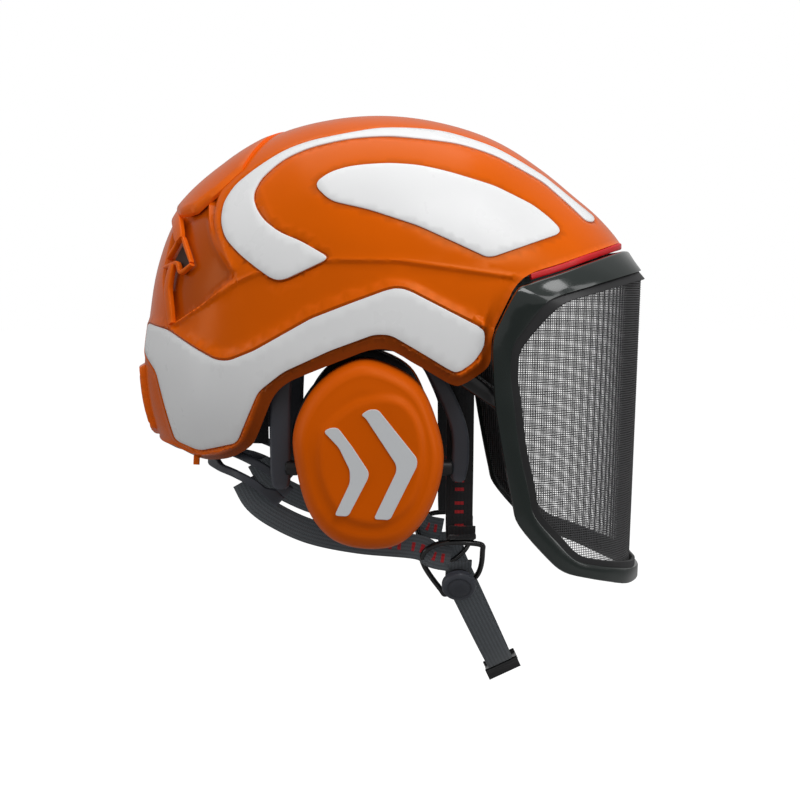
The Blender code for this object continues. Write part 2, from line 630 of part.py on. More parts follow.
def make_headband():
    band_strip("front_band", BAND_END, 0, 2.0, (26, 16), (BLACK, 0.45))
    band_strip("sweatband", 66, -4.6, 5.0, (32, 24), (FOAM, 0.95))
    for word, side in SIDES.items():
        root, tip = band_point(48 * side, 3.8, 0), band_point(48 * side, 11.0, 11)
        path = [root, band_point(48 * side, 6.0, 6), tip]
        across = np.cross(tip - root, (side, -1, 0))
        ribbon(f"hanger_front_{word}", path, 16, 2.4, across, (BLACK, 0.45))
        root, tip = band_point(118 * side, 3.0, 0), band_point(118 * side, 11.0, 36)
        path = [root, band_point(118 * side, 6.0, 20), tip]
        across = np.cross(tip - root, (side, 0.6, 0))
        ribbon(f"hanger_rear_{word}", path, 16, 2.4, across, (BLACK, 0.45))


def make_ratchet():
    arc = [-27 + 6 * k for k in range(10)]
    channel = []
    for degrees in arc:
        inner = arc_section(degrees, 57.0, 58.6, -11.5, 11.5)
        outer = arc_section(degrees, 60.0, 64.2, -9.9, 9.9)
        channel.append([inner[0], arc_section(degrees, 0, 64.2, -11.5, 0)[1], outer[1],
                        arc_section(degrees, 0, 58.9, -9.9, 0)[1], arc_section(degrees, 0, 58.9, 0, 9.9)[2],
                        outer[2], arc_section(degrees, 0, 64.2, 0, 11.5)[2], inner[3]])
    stack("ratchet_base", channel, (SLATE, 0.4))
    cover = stack("ratchet_cover", [arc_section(d, 64.7, 67.0, -11.5, 11.5) for d in arc], (SLATE, 0.4))
    cut(cover, rod("bore", (0, 80, RATCHET_Z), (0, 100, RATCHET_Z), 3.6, (SLATE, 0.4), sides=20))
    stack("nape_pad", [arc_section(-33 + 6 * k, 50.5, 56.4, -14, 14) for k in range(12)], (FOAM, 0.95))
    make_rack("rack_right", RIGHT, -1)
    make_rack("rack_left", LEFT, 1)
    axis = (0, 88, RATCHET_Z)
    teeth = []
    for k in range(40):
        turn = 2 * math.pi * k / 40
        radius = 4.9 if k % 4 in (0, 1) else 3.9
        teeth.append((radius * math.cos(turn), RATCHET_Z + radius * math.sin(turn)))
    pinion = stack("ratchet_pinion", [[np.array([x, y, z]) for x, z in teeth] for y in (86.0, 90.0)],
                   (STEEL, 0.4), axis)
    join(pinion, rod("shaft", (0, 89, RATCHET_Z), (0, 95.5, RATCHET_Z), 3.0, (STEEL, 0.4), sides=20))
    grip = []
    for y, radius in ((95.9, 14), (97.5, 16), (107, 15), (109, 12.5)):
        turns = [2 * math.pi * k / 48 for k in range(48)]
        sizes = [radius - (0.9 if k % 4 in (0, 1) and radius > 14 else 0.0) for k in range(48)]
        grip.append([np.array([s * math.cos(t), y, RATCHET_Z + s * math.sin(t)]) for s, t in zip(sizes, turns)])
    stack("ratchet_knob", grip, (BLACK, 0.4), axis)


def make_rack(name, side, level):
    """A curved toothed tail: wide outside the housing, a bar above or below the pinion inside it."""
    axis = (0, RATCHET_Y, RATCHET_Z)
    stops = [(d, -5.0, 5.0) for d in (44, 39, 34, 28)]
    stops = [(d, min(low, 8.6 * level), max(high, 8.6 * level)) for d, low, high in stops]
    bar = sorted((5.6 * level, 8.6 * level))
    stops += [(22, *stops[-1][1:]), (21.9, *bar)] + [(d, *bar) for d in (15, 8, 1, -6, -13)]
    rings = [arc_section(side * d, 60.3, 62.6, low, high) for d, low, high in stops]
    stack(name, rings, (BLACK, 0.4), axis)


def make_cradle():
    half = [(66, 46, -67), (67, 58, -56), (61, 72, -49), (46, 84, -46), (24, 92, -45)]
    path = [(-x, y, z) for x, y, z in half] + [(0, 94, -45)] + [p for p in reversed(half)]
    path = curve(path, 2)
    ways = []
    for p in path:
        lean = np.clip(abs(p[0]) / 62, 0, 1) ** 2
        ways.append(np.array([0, -0.35 * lean, 1.0]))
    ribbon("nape_cradle", path, 15, 3.0, ways, (SLATE, 0.4))


# ---------------------------------------------------------------- straps

def ring_point(side, along, up, out=0.0):
    """A point on the tilted plane of a strap ring: towards +Y, up the slope, and out of the plane."""
    x = RING_CENTRE[0] + up * math.sin(RING_TILT) + out * math.cos(RING_TILT)
    z = RING_CENTRE[2] + up * math.cos(RING_TILT) - out * math.sin(RING_TILT)
    return np.array([side * x, RING_CENTRE[1] + along, z])


def make_ring(word, side):
    outline = curve(RING_OUTLINE, 3, closed=True)
    count = len(outline)
    rings = []
    for i, (along, up) in enumerate(outline):
        nxt, last = outline[(i + 1) % count], outline[i - 1]
        tangent = np.array(nxt) - np.array(last)
        tangent /= np.linalg.norm(tangent)
        across = np.array([tangent[1], -tangent[0]])
        rings.append([
            ring_point(side, along + across[0] * 1.7 * math.cos(a), up + across[1] * 1.7 * math.cos(a),
                       1.5 * math.sin(a))
            for a in (math.pi / 4 * k for k in range(8))
        ])
    stack(f"strap_ring_{word}", rings, (BLACK, 0.3), closed=True)
    seat = ring_point(side, *BUTTON_AT)
    normal = ring_point(side, *BUTTON_AT, 1.0) - seat
    rod(f"button_seat_{word}", seat + normal * 3.5, seat + normal * 5.0, 8.5, (BLACK, 0.4), sides=20)
    centre = seat + normal * 7.0
    rod(f"strap_button_{word}", centre, centre + normal * 4.2, BUTTON_RADIUS, (SLATE, 0.35), tuple(centre),
        24, 1.2)


def make_straps(word, side):
    flip = np.array([side, 1, 1])
    front = [(80, -55, 26), (77, -55, 0), (70, -55, -45), (63.5, -55, -88)]
    top = ring_point(side, -4.5, 17.5)
    path = [np.array(p) * flip for p in front] + [top + (side * 1.6, 0, 2.6)]
    ribbon(f"front_strap_{word}", curve(path, 3), WEBBING_WIDTH, WEBBING_THICKNESS, (0, 1, 0), (BLACK, 0.9))
    rear = [(57, 70, -58.5), (59, 63, -70), (62, 50, -79), (64, 30, -87.5), (64, 3, -93), (63, -30.5, -96.5)]
    rear = [np.array(p, float) * flip for p in rear]
    ways = [np.cross(rear[min(i + 1, len(rear) - 1)] - rear[max(i - 1, 0)], (1, 0, 0)) for i in range(len(rear))]
    ribbon(f"rear_strap_{word}", rear, WEBBING_WIDTH - 0.7, WEBBING_THICKNESS, ways, (WEB_GREY, 0.9))
    nape = [(60, 63, -36), (66, 63, -15), (70, 64, 10), (71, 66, 30)]
    ribbon(f"nape_strap_{word}", [np.array(p) * flip for p in nape], WEBBING_WIDTH, WEBBING_THICKNESS, (0, 1, 0.2),
           (BLACK, 0.9))


def make_chin_strap():
    """One band under the chin, from ring to ring, in a plane that leans forward."""
    down = np.array([0, -0.427, -0.904])
    way = np.array([0, -0.906, 0.42])
    path = []
    for k in range(25):
        share = -1 + k / 12
        sag = 57 * (1 - abs(share) ** 2.1)
        path.append(np.array([CHIN_END[0] * share, *CHIN_END[1:]]) + down * sag)
    ribbon("chin_strap", path, WEBBING_WIDTH, WEBBING_THICKNESS, way, (WEB_GREY, 0.9))
    low = np.array([0, *CHIN_END[1:]]) + down * 59.6
    rings = []
    for x in (-13, -11, 11, 13):
        inset = 0.8 if abs(x) == 13 else 0.0
        w, t = way * (10.5 - inset), down * (1.5 - inset / 2)
        rings.append([low + (x, 0, 0) + a * w + b * t for a, b in ((-1, -1), (1, -1), (1, 1), (-1, 1))])
    stack("chin_slider", rings, (BLACK, 0.35))


def main():
    clear_scene()
    make_shell()
    make_brow_seal()
    make_visor()
    for word, side in SIDES.items():
        make_ear_defender(word, side)
        make_ring(word, side)
        make_straps(word, side)
    make_headband()
    make_ratchet()
    make_cradle()
    make_chin_strap()


main()
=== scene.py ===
"""Looks for the forestry hard hat. Lengths are millimetres until mesh vertices are made.

+Z is up, the face looks along -Y and the wearer's left is +X. The camera stands on the wearer's right.
"""
import math

import bpy
import bmesh
import numpy as np
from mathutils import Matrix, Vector
from mathutils.geometry import delaunay_2d_cdt


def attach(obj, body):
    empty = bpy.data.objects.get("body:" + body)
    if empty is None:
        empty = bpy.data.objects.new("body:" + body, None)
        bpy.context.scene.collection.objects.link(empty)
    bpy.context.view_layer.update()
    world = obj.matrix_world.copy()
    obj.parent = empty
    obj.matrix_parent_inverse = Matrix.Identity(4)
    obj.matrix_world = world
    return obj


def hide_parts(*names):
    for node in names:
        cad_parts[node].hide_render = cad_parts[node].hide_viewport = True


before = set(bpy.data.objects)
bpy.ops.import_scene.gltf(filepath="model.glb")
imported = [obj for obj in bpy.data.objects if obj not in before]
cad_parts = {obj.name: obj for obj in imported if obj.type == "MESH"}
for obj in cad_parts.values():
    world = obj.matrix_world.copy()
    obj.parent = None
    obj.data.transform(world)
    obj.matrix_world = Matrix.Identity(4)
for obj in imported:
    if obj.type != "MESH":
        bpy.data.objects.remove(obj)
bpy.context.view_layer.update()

MM = 0.001
SIDES = {"right": -1, "left": 1}
BOTH = (1, -1)

DOME_Y, DOME_Z = -21.5, 27.6
HALF_WIDTH, ROUNDNESS, CHART = 108.0, 2.3, 120.0
PROFILE = np.array([
    (-95, 123), (-60, 136), (-30, 144), (0, 146), (22, 143), (29, 138.5), (38, 132.5), (48, 129.3),
    (63, 128), (80, 127.7), (90, 129), (109, 134), (121, 139), (139, 146), (153, 151), (165, 151.4),
    (176, 151.7), (190, 157), (203, 159), (215, 153), (235, 138),
], float)
RIM = [
    (-150, 80), (-129, 73.5), (-110, 67), (-93, 62), (-85, 56), (-74.5, 35), (-71, 27.5), (-70.5, 9.5),
    (-55, -1), (-49.5, -1), (-38, 6), (-17.5, 18), (-13, 20), (-3, 19.5), (18.5, 11), (43, 1),
    (51, -6.5), (62, -33), (65.5, -38), (78, -45.5), (94.5, -48), (109, -43),
]
RIM_ENDS = (21.5, 205.0)
SIDE_BAND = [
    (129.5, 33), (113, 29.5), (95, 19), (83, 13), (75.5, 12.7), (61, 18.5), (29, 36.5), (7, 45),
    (-13.5, 52.5), (-19.5, 53.5), (-25, 52), (-65, 31.5), (-67, 28.5), (-66.5, 21), (-61, 12.7),
    (-52, 6.7), (-48, 8), (-30, 19), (-15, 27.7), (-6, 28), (18.5, 19), (44.5, 7), (52.5, 0.8),
    (59, -4.5), (72, -34), (95, -40), (110, -35), (121, 5), (131.5, 16),
]
CROWN_STRIPE = [
    (-130, 91), (-137, 93.5), (-121.5, 105.7), (-105, 119), (-76.5, 135), (-48, 144), (-32, 145.5),
    (-9, 145.7), (30.5, 138), (46.5, 132), (63, 121), (74, 112), (80, 102), (81, 91), (78, 81.5),
    (70, 73), (61, 65.7), (50, 58), (44, 58), (18.5, 70), (34, 79), (47, 84.5), (56, 91.5), (61, 99),
    (62.7, 106.5), (58, 116), (46, 127), (30, 134), (8, 139), (-14, 140.5), (-53, 136.8),
    (-75.5, 130), (-104, 115), (-120, 101),
]
TOP_PANEL = [
    (28, 111.5), (19, 118.5), (7.5, 122), (-13.5, 123.7), (-31.5, 122.5), (-47, 119), (-74, 111),
    (-96, 100.5), (-107, 92), (-113, 85), (-69.5, 70), (-63.5, 72.8), (-31, 87.7), (-3, 97), (18.5, 102),
]
CREASE = [(118, 28), (111, 32), (69, 58), (44, 68), (13, 69), (-20, 68.5), (-48, 64.5), (-84, 59.5)]
LIP = [(90, 118), (90.5, 106), (89, 90), (84, 78), (74, 64)]
REAR_RECESS = [
    (79, 117), (84, 106), (85.5, 92), (80, 78), (70, 60.5), (92, 43), (112, 31), (118, 60), (112, 90),
    (104, 96), (93, 108),
]
CHAMFER, RIM_BEAD, INLAY_EDGE = 5.2, 6.4, 0.6
HOOD_EDGE = [(112, 92), (97, 97.5), (84, 108), (70, 121)]
CLIP_EDGE = [(125, -30), (131, 8)]
VENT_HOLE = [(106, 80.5), (113, 69), (107.5, 67), (104.5, 62.5), (100, 67.5)]
VENT_STRUTS = {
    "block": ([(112.5, 97), (109, 91.5), (107, 85), (105.8, 81)], 8.0, 0.6),
    "legs": ([(114.7, 70.5), (110.5, 76.5), (105.8, 83), (102, 76), (98.7, 68)], 2.4, -0.6),
    "bracket": ([(116.5, 65.5), (111, 67), (107.5, 67.5), (105, 62.5), (98.3, 67)], 2.6, -0.4),
    "post": ([(110.3, 67), (112, 60), (112.9, 53), (112.3, 46), (110.2, 33)], 6.0, 0.2),
}

ORANGE, ORANGE_CUP = (0.80, 0.125, 0.0), (0.76, 0.115, 0.0)
WHITE, BLACK, GREEN_BLACK = (0.93, 0.935, 0.94), (0.012, 0.012, 0.013), (0.010, 0.016, 0.014)
SLATE, WEB_GREY, WEB_BLACK = (0.040, 0.044, 0.056), (0.105, 0.118, 0.13), (0.016, 0.016, 0.018)
RED, STEEL = (0.72, 0.006, 0.012), (0.55, 0.55, 0.56)

CAMERA_AT, CAMERA_TO, CAMERA_LENS = (-1050, -8, 52), (0, -21.5, -15), 77.12
FLOOR_Z, FLOOR_SIZE, FLOOR_GLOW, AMBIENT = -260.0, 12.0, 0.86, 0.4
LIGHTS = {
    "key": ((-700, -500, 900), (0, -20, 20), (0.7, 0.5), 5),
    "top": ((0, 0, 1100), (0, 0, 0), (0.9, 0.9), 3.5),
    "front": ((-500, -1100, 350), (0, -20, 0), (0.4, 0.8), 2),
    "rear": ((-350, 1100, 250), (0, 0, 0), (0.25, 1.0), 1.5),
}


# ---- materials

def shader_of(name):
    made = bpy.data.materials.new(name)
    made.use_nodes = True
    tree = made.node_tree
    return made, tree, tree.nodes["Principled BSDF"]


def connect(socket, value):
    """Gives a socket a plain value, or a link from another node's output."""
    if hasattr(value, "is_linked"):
        socket.id_data.links.new(value, socket)
    else:
        socket.default_value = value


def settle(node, **values):
    """Sets a node's sockets, with an underscore in a keyword for each space in a socket's name."""
    for name, value in values.items():
        connect(node.inputs[name.replace("_", " ")], value)


def node_of(tree, kind, **values):
    node = tree.nodes.new("ShaderNode" + kind)
    settle(node, **values)
    return node


def place_in(tree):
    return node_of(tree, "TexCoord").outputs["Object"]


def lay_of(tree):
    """Where the surface lies along and across its strip, as build and skin wrote it; on the shell its first
    value is painted shade instead.
    """
    lay = node_of(tree, "Attribute")
    lay.attribute_name = "lay"
    parts = node_of(tree, "SeparateXYZ", Vector=lay.outputs["Vector"])
    return parts.outputs["X"], parts.outputs["Y"]


def noise(tree, vector, scale, detail=3.0):
    return node_of(tree, "TexNoise", Scale=scale, Detail=detail, Vector=vector).outputs["Fac"]


def spread(tree, value, low, high):
    """Maps the middle of a noise's range to low..high."""
    ramp = node_of(tree, "MapRange", From_Min=0.3, From_Max=0.7, To_Min=low, To_Max=high, Value=value)
    return ramp.outputs["Result"]


def math_node(tree, kind, a, b):
    node = node_of(tree, "Math")
    node.operation = kind
    for socket, value in zip(node.inputs, (a, b)):
        connect(socket, value)
    return node.outputs[0]


def times(tree, a, b):
    return math_node(tree, "MULTIPLY", a, b)


def plus(tree, a, b):
    return math_node(tree, "ADD", a, b)


def scaled(colour, factor):
    return [min(c * factor, 1) for c in colour]


def mix_colour(tree, fac, dark, light):
    node = node_of(tree, "Mix")
    node.data_type = "RGBA"
    connect(node.inputs["Factor"], fac)
    for socket, value in ((node.inputs[6], dark), (node.inputs[7], light)):
        connect(socket, value if hasattr(value, "is_linked") else (*value, 1))
    return node.outputs[2]


def bump(tree, height, strength, distance, after=None):
    node = node_of(tree, "Bump", Strength=strength, Distance=distance, Height=height)
    if after is not None:
        settle(node, Normal=after)
    return node.outputs["Normal"]


def moulded(name, colour, roughness, coat=0.0, grain=900.0, depth=0.00003, tint=0.06, metallic=0.0,
            edges=0.0, gloss=0.5, shaded=False, warm=0.0):
    """Moulded plastic or metal: a little mottling, uneven gloss, fine grain and a painted highlight on convex
    edges.

    Where it is shaded, the lay of the surface says how much painted shade darkens it, and warm tints its
    highlights.
    """
    made, tree, shader = shader_of(name)
    where = place_in(tree)
    mottle = spread(tree, noise(tree, where, 14.0), 0.0, 1.0)
    shade = mix_colour(tree, mottle, scaled(colour, 1 - tint), scaled(colour, 1 + tint))
    # Painted highlight: convex edges, found by pointiness, are lightened by the edges share.
    if edges:
        rims = node_of(tree, "NewGeometry").outputs["Pointiness"]
        ramp = node_of(tree, "MapRange", From_Min=0.51, From_Max=0.58, Value=rims)
        edge_highlight = [min(c * (1 + edges) + 0.01, 1) for c in colour]
        shade = mix_colour(tree, ramp.outputs["Result"], shade, edge_highlight)
    # Painted shade: the lay's first value darkens the colour towards a fifth of itself.
    if shaded:
        painted_shade = times(tree, lay_of(tree)[0], 1 / MM)
        shade = mix_colour(tree, painted_shade, shade, [c * 0.2 + 0.004 for c in colour])
    rough = spread(tree, noise(tree, where, 60.0), roughness * 0.85, min(roughness * 1.18, 1))
    fine = bump(tree, noise(tree, where, grain, 2.0), 0.6, depth)
    settle(shader, Base_Color=shade, Roughness=rough, Normal=fine, Metallic=metallic,
           Specular_IOR_Level=gloss, Coat_Weight=coat, Coat_Roughness=0.06,
           Specular_Tint=(1, 1 - 0.5 * warm, 1 - 0.8 * warm, 1))
    return made


def woven(name, colour, pitch=0.0011, marks=None):
    """Webbing with a herringbone weave along its own length, and generic red dashes past a distance."""
    made, tree, shader = shader_of(name)
    along, across = lay_of(tree)
    tooth = math_node(tree, "PINGPONG", across, pitch * 1.9)
    run = plus(tree, along, times(tree, tooth, 0.8))
    wave = math_node(tree, "SINE", times(tree, run, 2 * math.pi / pitch), 0.0)
    rib = math_node(tree, "SINE", times(tree, across, 2 * math.pi / (pitch * 1.9)), 0.0)
    weave = plus(tree, plus(tree, times(tree, wave, 0.35), times(tree, rib, 0.25)), 0.5)
    fluff = noise(tree, place_in(tree), 1600.0, 2.0)
    fac = plus(tree, times(tree, weave, 0.6), times(tree, fluff, 0.4))
    shade = mix_colour(tree, fac, scaled(colour, 0.45), scaled(colour, 1.6))
    if marks is not None:
        step = math_node(tree, "FLOORED_MODULO", along, 0.0135)
        gap = math_node(tree, "ABSOLUTE", math_node(tree, "SUBTRACT", step, 0.0055), 0)
        dash, hole = (math_node(tree, "LESS_THAN", gap, reach) for reach in (0.0036, 0.0016))
        thin = math_node(tree, "LESS_THAN", math_node(tree, "ABSOLUTE", across, 0), 0.0026)
        dash = times(tree, math_node(tree, "SUBTRACT", dash, hole), thin)
        dash = times(tree, dash, math_node(tree, "GREATER_THAN", along, marks))
        reds = mix_colour(tree, fac, (0.28, 0.006, 0.01), (0.75, 0.02, 0.03))
        shade = mix_colour(tree, dash, shade, reds)
    fine = bump(tree, fac, 0.8, 0.0002)
    settle(shader, Base_Color=shade, Roughness=0.85, Sheen_Weight=0.25, Normal=fine)
    return made


def cloth(name, colour, pitch=0.0012, sheen=0.4, roughness=0.9, skin=False):
    """Knitted pad cloth, or a fine leather-like skin."""
    made, tree, shader = shader_of(name)
    where = place_in(tree)
    cells = node_of(tree, "TexVoronoi", Scale=1 / pitch, Vector=where)
    wide = spread(tree, noise(tree, where, 45.0), 0.0, 1.0)
    fac = plus(tree, times(tree, cells.outputs["Distance"], 0.7), times(tree, wide, 0.3))
    shade = mix_colour(tree, fac, scaled(colour, 0.6), scaled(colour, 1.5))
    settle(shader, Base_Color=shade, Roughness=roughness, Sheen_Weight=sheen)
    if skin:
        settle(shader, Coat_Weight=0.15, Coat_Roughness=0.35)
    creases = bump(tree, wide, 0.25, 0.0006)
    settle(shader, Normal=bump(tree, cells.outputs["Distance"], 0.5, 0.0002, creases))
    return made


def reflective(name, colour):
    """Prismatic sheeting: a fine honeycomb under a clear face."""
    made, tree, shader = shader_of(name)
    cells = node_of(tree, "TexVoronoi")
    cells.feature = "DISTANCE_TO_EDGE"
    settle(cells, Scale=380.0, Randomness=0.15, Vector=place_in(tree))
    fac = spread(tree, cells.outputs["Distance"], 0.2, 1.0)
    shade = mix_colour(tree, fac, scaled(colour, 0.92), colour)
    fine = bump(tree, cells.outputs["Distance"], 0.2, 0.0001)
    settle(shader, Base_Color=shade, Roughness=0.35, Coat_Weight=0.5, Normal=fine)
    return made


# edges sets a painted highlight on convex edges; the shell also takes painted shade from its lay.
SATIN_AND_EDGE_HIGHLIGHT = dict(edges=0.25, depth=0.000004, warm=1)
RECIPES = {
    "orange_shell": (moulded, dict(colour=ORANGE, roughness=0.22, gloss=0.28, shaded=True, **SATIN_AND_EDGE_HIGHLIGHT)),
    "orange_trim": (moulded, dict(colour=ORANGE, roughness=0.26, gloss=0.25, **SATIN_AND_EDGE_HIGHLIGHT)),
    "orange_cup": (moulded, dict(colour=ORANGE_CUP, roughness=0.38, edges=0.2, gloss=0.25, warm=1)),
    "white_inlay": (moulded, dict(colour=WHITE, roughness=0.3, tint=0.015, depth=0.000004, gloss=0.35)),
    "reflector": (reflective, dict(colour=(0.76, 0.78, 0.80))),
    "red_seal": (moulded, dict(colour=RED, roughness=0.4, grain=1200.0)),
    "visor_frame": (moulded, dict(colour=GREEN_BLACK, roughness=0.16, coat=0.5, depth=0.00001)),
    "frame_lip": (moulded, dict(colour=BLACK, roughness=0.45)),
    "visor_mesh": (moulded, dict(colour=(0.075, 0.075, 0.078), roughness=0.4, grain=2500.0)),
    "black_plastic": (moulded, dict(colour=BLACK, roughness=0.38)),
    "black_gloss": (moulded, dict(colour=BLACK, roughness=0.2, coat=0.3, depth=0.00001)),
    "steel": (moulded, dict(colour=STEEL, roughness=0.3, metallic=1.0)),
    "slate_plastic": (moulded, dict(colour=SLATE, roughness=0.38, depth=0.00005, edges=0.8)),
    # Painted shade for the inside of the vent opening.
    "vent_dark": (moulded, dict(colour=(0.045, 0.018, 0.008), roughness=0.7)),
    "foam": (cloth, dict(colour=(0.03, 0.03, 0.032), pitch=0.0028, sheen=0.1)),
    "pad_cloth": (cloth, dict(colour=(0.022, 0.022, 0.024))),
    "cushion_skin": (cloth, dict(colour=BLACK, pitch=0.0009, sheen=0.1, roughness=0.5, skin=True)),
    "black_webbing": (woven, dict(colour=WEB_BLACK)),
    "grey_webbing": (woven, dict(colour=WEB_GREY)),
    "black_webbing_marked": (woven, dict(colour=WEB_BLACK, marks=0.076)),
    "grey_webbing_marked": (woven, dict(colour=WEB_GREY, marks=0.082)),
}
LOOKS = {name: make(name, **recipe) for name, (make, recipe) in RECIPES.items()}


# ---- mesh helpers

def build(name, points, faces, look, body, nodes=(), lay=None, sharp=38):
    """A piece from points in millimetres that rides on a body and stands for CAD nodes."""
    bm = bmesh.new()
    layer = None if lay is None else bm.verts.layers.float_vector.new("lay")
    verts = [bm.verts.new(p) for p in np.asarray(points, float) * MM]
    if layer:
        for vert, value in zip(verts, np.asarray(lay, float) * MM):
            vert[layer] = value
    for face in faces:
        bm.faces.new([verts[i] for i in face])
    bmesh.ops.recalc_face_normals(bm, faces=bm.faces)
    mesh = bpy.data.meshes.new(name)
    bm.to_mesh(mesh)
    bm.free()
    mesh.shade_smooth()
    mesh.set_sharp_from_angle(angle=math.radians(sharp))
    return dress(bpy.data.objects.new(name, mesh), look, body, nodes)


def dress(obj, look, body, nodes=()):
    if obj.name not in bpy.context.scene.collection.all_objects:
        bpy.context.scene.collection.objects.link(obj)
    obj.data.materials.clear()
    obj.data.materials.append(LOOKS[look])
    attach(obj, body)
    if nodes:
        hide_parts(*nodes)
    return obj


def loft(rings, closed=False):
    """Points and faces through rings with as many points each, capped at both ends or closed round."""
    count = len(rings[0])
    points = [p for ring in rings for p in ring]
    faces = []
    for k in range(len(rings) if closed else len(rings) - 1):
        a, b = k * count, (k + 1) % len(rings) * count
        faces += [(a + i, a + (i + 1) % count, b + (i + 1) % count, b + i) for i in range(count)]
    if not closed:
        faces.append(tuple(range(count)))
        faces.append(tuple(range(len(points) - count, len(points))))
    return points, faces


def curve(points, per_span, closed=False):
    """Points on a Catmull-Rom curve through the given ones."""
    pts = [np.array(p, float) for p in points]
    n = len(pts)
    found = []
    for i in range(n if closed else n - 1):
        if closed:
            a, b, c, d = (pts[(i + k) % n] for k in (-1, 0, 1, 2))
        else:
            b, c = pts[i], pts[i + 1]
            a = pts[i - 1] if i else 2 * b - c
            d = pts[i + 2] if i + 2 < n else 2 * c - b
        for k in range(per_span):
            t = k / per_span
            found.append(0.5 * (2 * b + (c - a) * t + (2 * a - 5 * b + 4 * c - d) * t**2
                                + (3 * b - a - 3 * c + d) * t**3))
    if not closed:
        found.append(pts[-1])
    return found


def rounded_box(width, thick, radius, steps=3):
    """A rectangle's outline with rounded corners, as (across, out) pairs."""
    radius = min(radius, thick / 2 - 0.01, width / 2 - 0.01)
    w, t = width / 2 - radius, thick / 2 - radius
    found = []
    for cx, cy, start in ((w, t, 0), (-w, t, 90), (-w, -t, 180), (w, -t, 270)):
        for k in range(steps + 1):
            turn = math.radians(start + 90 * k / steps)
            found.append((cx + radius * math.cos(turn), cy + radius * math.sin(turn)))
    return found


def sweep(path, outlines, ways, closed=False):
    """Rings of outlines along a path, and the lay of each point: along it and across it."""
    path = [np.array(p, float) for p in path]
    if np.ndim(ways) == 1:
        ways = [ways] * len(path)
    rings, lay = [], []
    gone = 0.0
    last = path[0]
    for i, p in enumerate(path):
        if closed:
            along = path[(i + 1) % len(path)] - path[i - 1]
        else:
            along = path[min(i + 1, len(path) - 1)] - path[max(i - 1, 0)]
        along = along / np.linalg.norm(along)
        way = np.array(ways[i], float)
        way -= along * (way @ along)
        way /= np.linalg.norm(way)
        out = np.cross(along, way)
        gone += np.linalg.norm(p - last)
        last = p
        outline = outlines if np.ndim(outlines[0]) == 1 else outlines[i]
        rings.append([p + way * w + out * t for w, t in outline])
        lay += [(gone, w, t) for w, t in outline]
    return rings, lay


def bar(name, path, outlines, ways, look, body="helmet", nodes=(), closed=False):
    rings, lay = sweep(path, outlines, ways, closed)
    points, faces = loft(rings, closed)
    return build(name, points, faces, look, body, nodes, lay)


def turned(name, centre, axis, steps, look, body, nodes=(), sides=64):
    """A turned form: (along the axis, radius) steps about an axis through the centre."""
    centre, axis = np.array(centre, float), np.array(axis, float)
    axis /= np.linalg.norm(axis)
    first = np.cross(axis, (0, 0, 1) if abs(axis[2]) < 0.9 else (0, 1, 0))
    first /= np.linalg.norm(first)
    second = np.cross(axis, first)
    rings = []
    for along, radius in steps:
        ring = []
        for k in range(sides):
            turn = 2 * math.pi * k / sides
            ring.append(centre + axis * along + (first * math.cos(turn) + second * math.sin(turn)) * radius)
        rings.append(ring)
    return build(name, *loft(rings), look, body, nodes)


def stretched(values, count):
    """The values spread evenly over the count."""
    return np.interp(np.linspace(0, 1, count), np.linspace(0, 1, len(values)), values)


def smooth(value):
    t = np.clip(value, 0, 1)
    return t * t * (3 - 2 * t)


def bulge(distance, width):
    return np.exp(-(distance / width) ** 2)


# ---- the dome

def profile_radius(degrees):
    angles, radii = PROFILE[:, 0], PROFILE[:, 1]
    slopes = np.gradient(radii, angles)
    i = np.clip(np.searchsorted(angles, degrees) - 1, 0, len(angles) - 2)
    span = angles[i + 1] - angles[i]
    t = (degrees - angles[i]) / span
    return ((2 * t**3 - 3 * t**2 + 1) * radii[i] + (t**3 - 2 * t**2 + t) * span * slopes[i]
            + (3 * t**2 - 2 * t**3) * radii[i + 1] + (t**3 - t**2) * span * slopes[i + 1])


def to_chart(points):
    """Where (y, z) points of the side view lie on the flat chart of half the dome."""
    y, z = np.array(points, float).T
    degrees = np.degrees(np.arctan2(z - DOME_Z, DOME_Y - y))
    degrees = np.where(degrees < -95, degrees + 360, degrees)
    share = np.minimum(np.hypot(y - DOME_Y, z - DOME_Z) / profile_radius(degrees), 1)
    reach = CHART * np.arcsin(share ** (ROUNDNESS / 2))
    turn = np.radians(degrees)
    return np.stack([reach * np.cos(turn), reach * np.sin(turn)], 1)


def from_chart(flat):
    """Points on the left half of the dome and their outward normals."""
    u, v = flat[:, 0], flat[:, 1]
    reach = np.minimum(np.hypot(u, v) / CHART, math.pi / 2)
    degrees = np.degrees(np.arctan2(v, u))
    degrees = np.where(degrees < -95, degrees + 360, degrees)
    share = np.sin(reach) ** (2 / ROUNDNESS)
    x = HALF_WIDTH * np.maximum(np.cos(reach), 0) ** (2 / ROUNDNESS)
    x[reach > math.pi / 2 - 1e-4] = 0
    size = profile_radius(degrees)
    turn = np.radians(degrees)
    y = DOME_Y - share * size * np.cos(turn)
    z = DOME_Z + share * size * np.sin(turn)
    grow = (profile_radius(degrees + 1) - profile_radius(degrees - 1)) / math.radians(2) / size
    cos, sin = np.cos(turn), np.sin(turn)
    side = (x / HALF_WIDTH) ** (ROUNDNESS - 1) / HALF_WIDTH
    lift = share ** (ROUNDNESS - 1) / size
    normal = np.stack([side, lift * (-cos - grow * sin), lift * (sin - grow * cos)], 1)
    return np.stack([x, y, z], 1), normal / np.linalg.norm(normal, axis=1)[:, None]


def dome_half_width(y, z):
    """x of the dome where a line across passes (y, z), or 0 outside it."""
    degrees = math.degrees(math.atan2(z - DOME_Z, DOME_Y - y))
    if degrees < -95:
        degrees += 360
    share = math.hypot(y - DOME_Y, z - DOME_Z) / float(profile_radius(np.array(degrees)))
    return HALF_WIDTH * max(1 - share**ROUNDNESS, 0.0) ** (1 / ROUNDNESS)


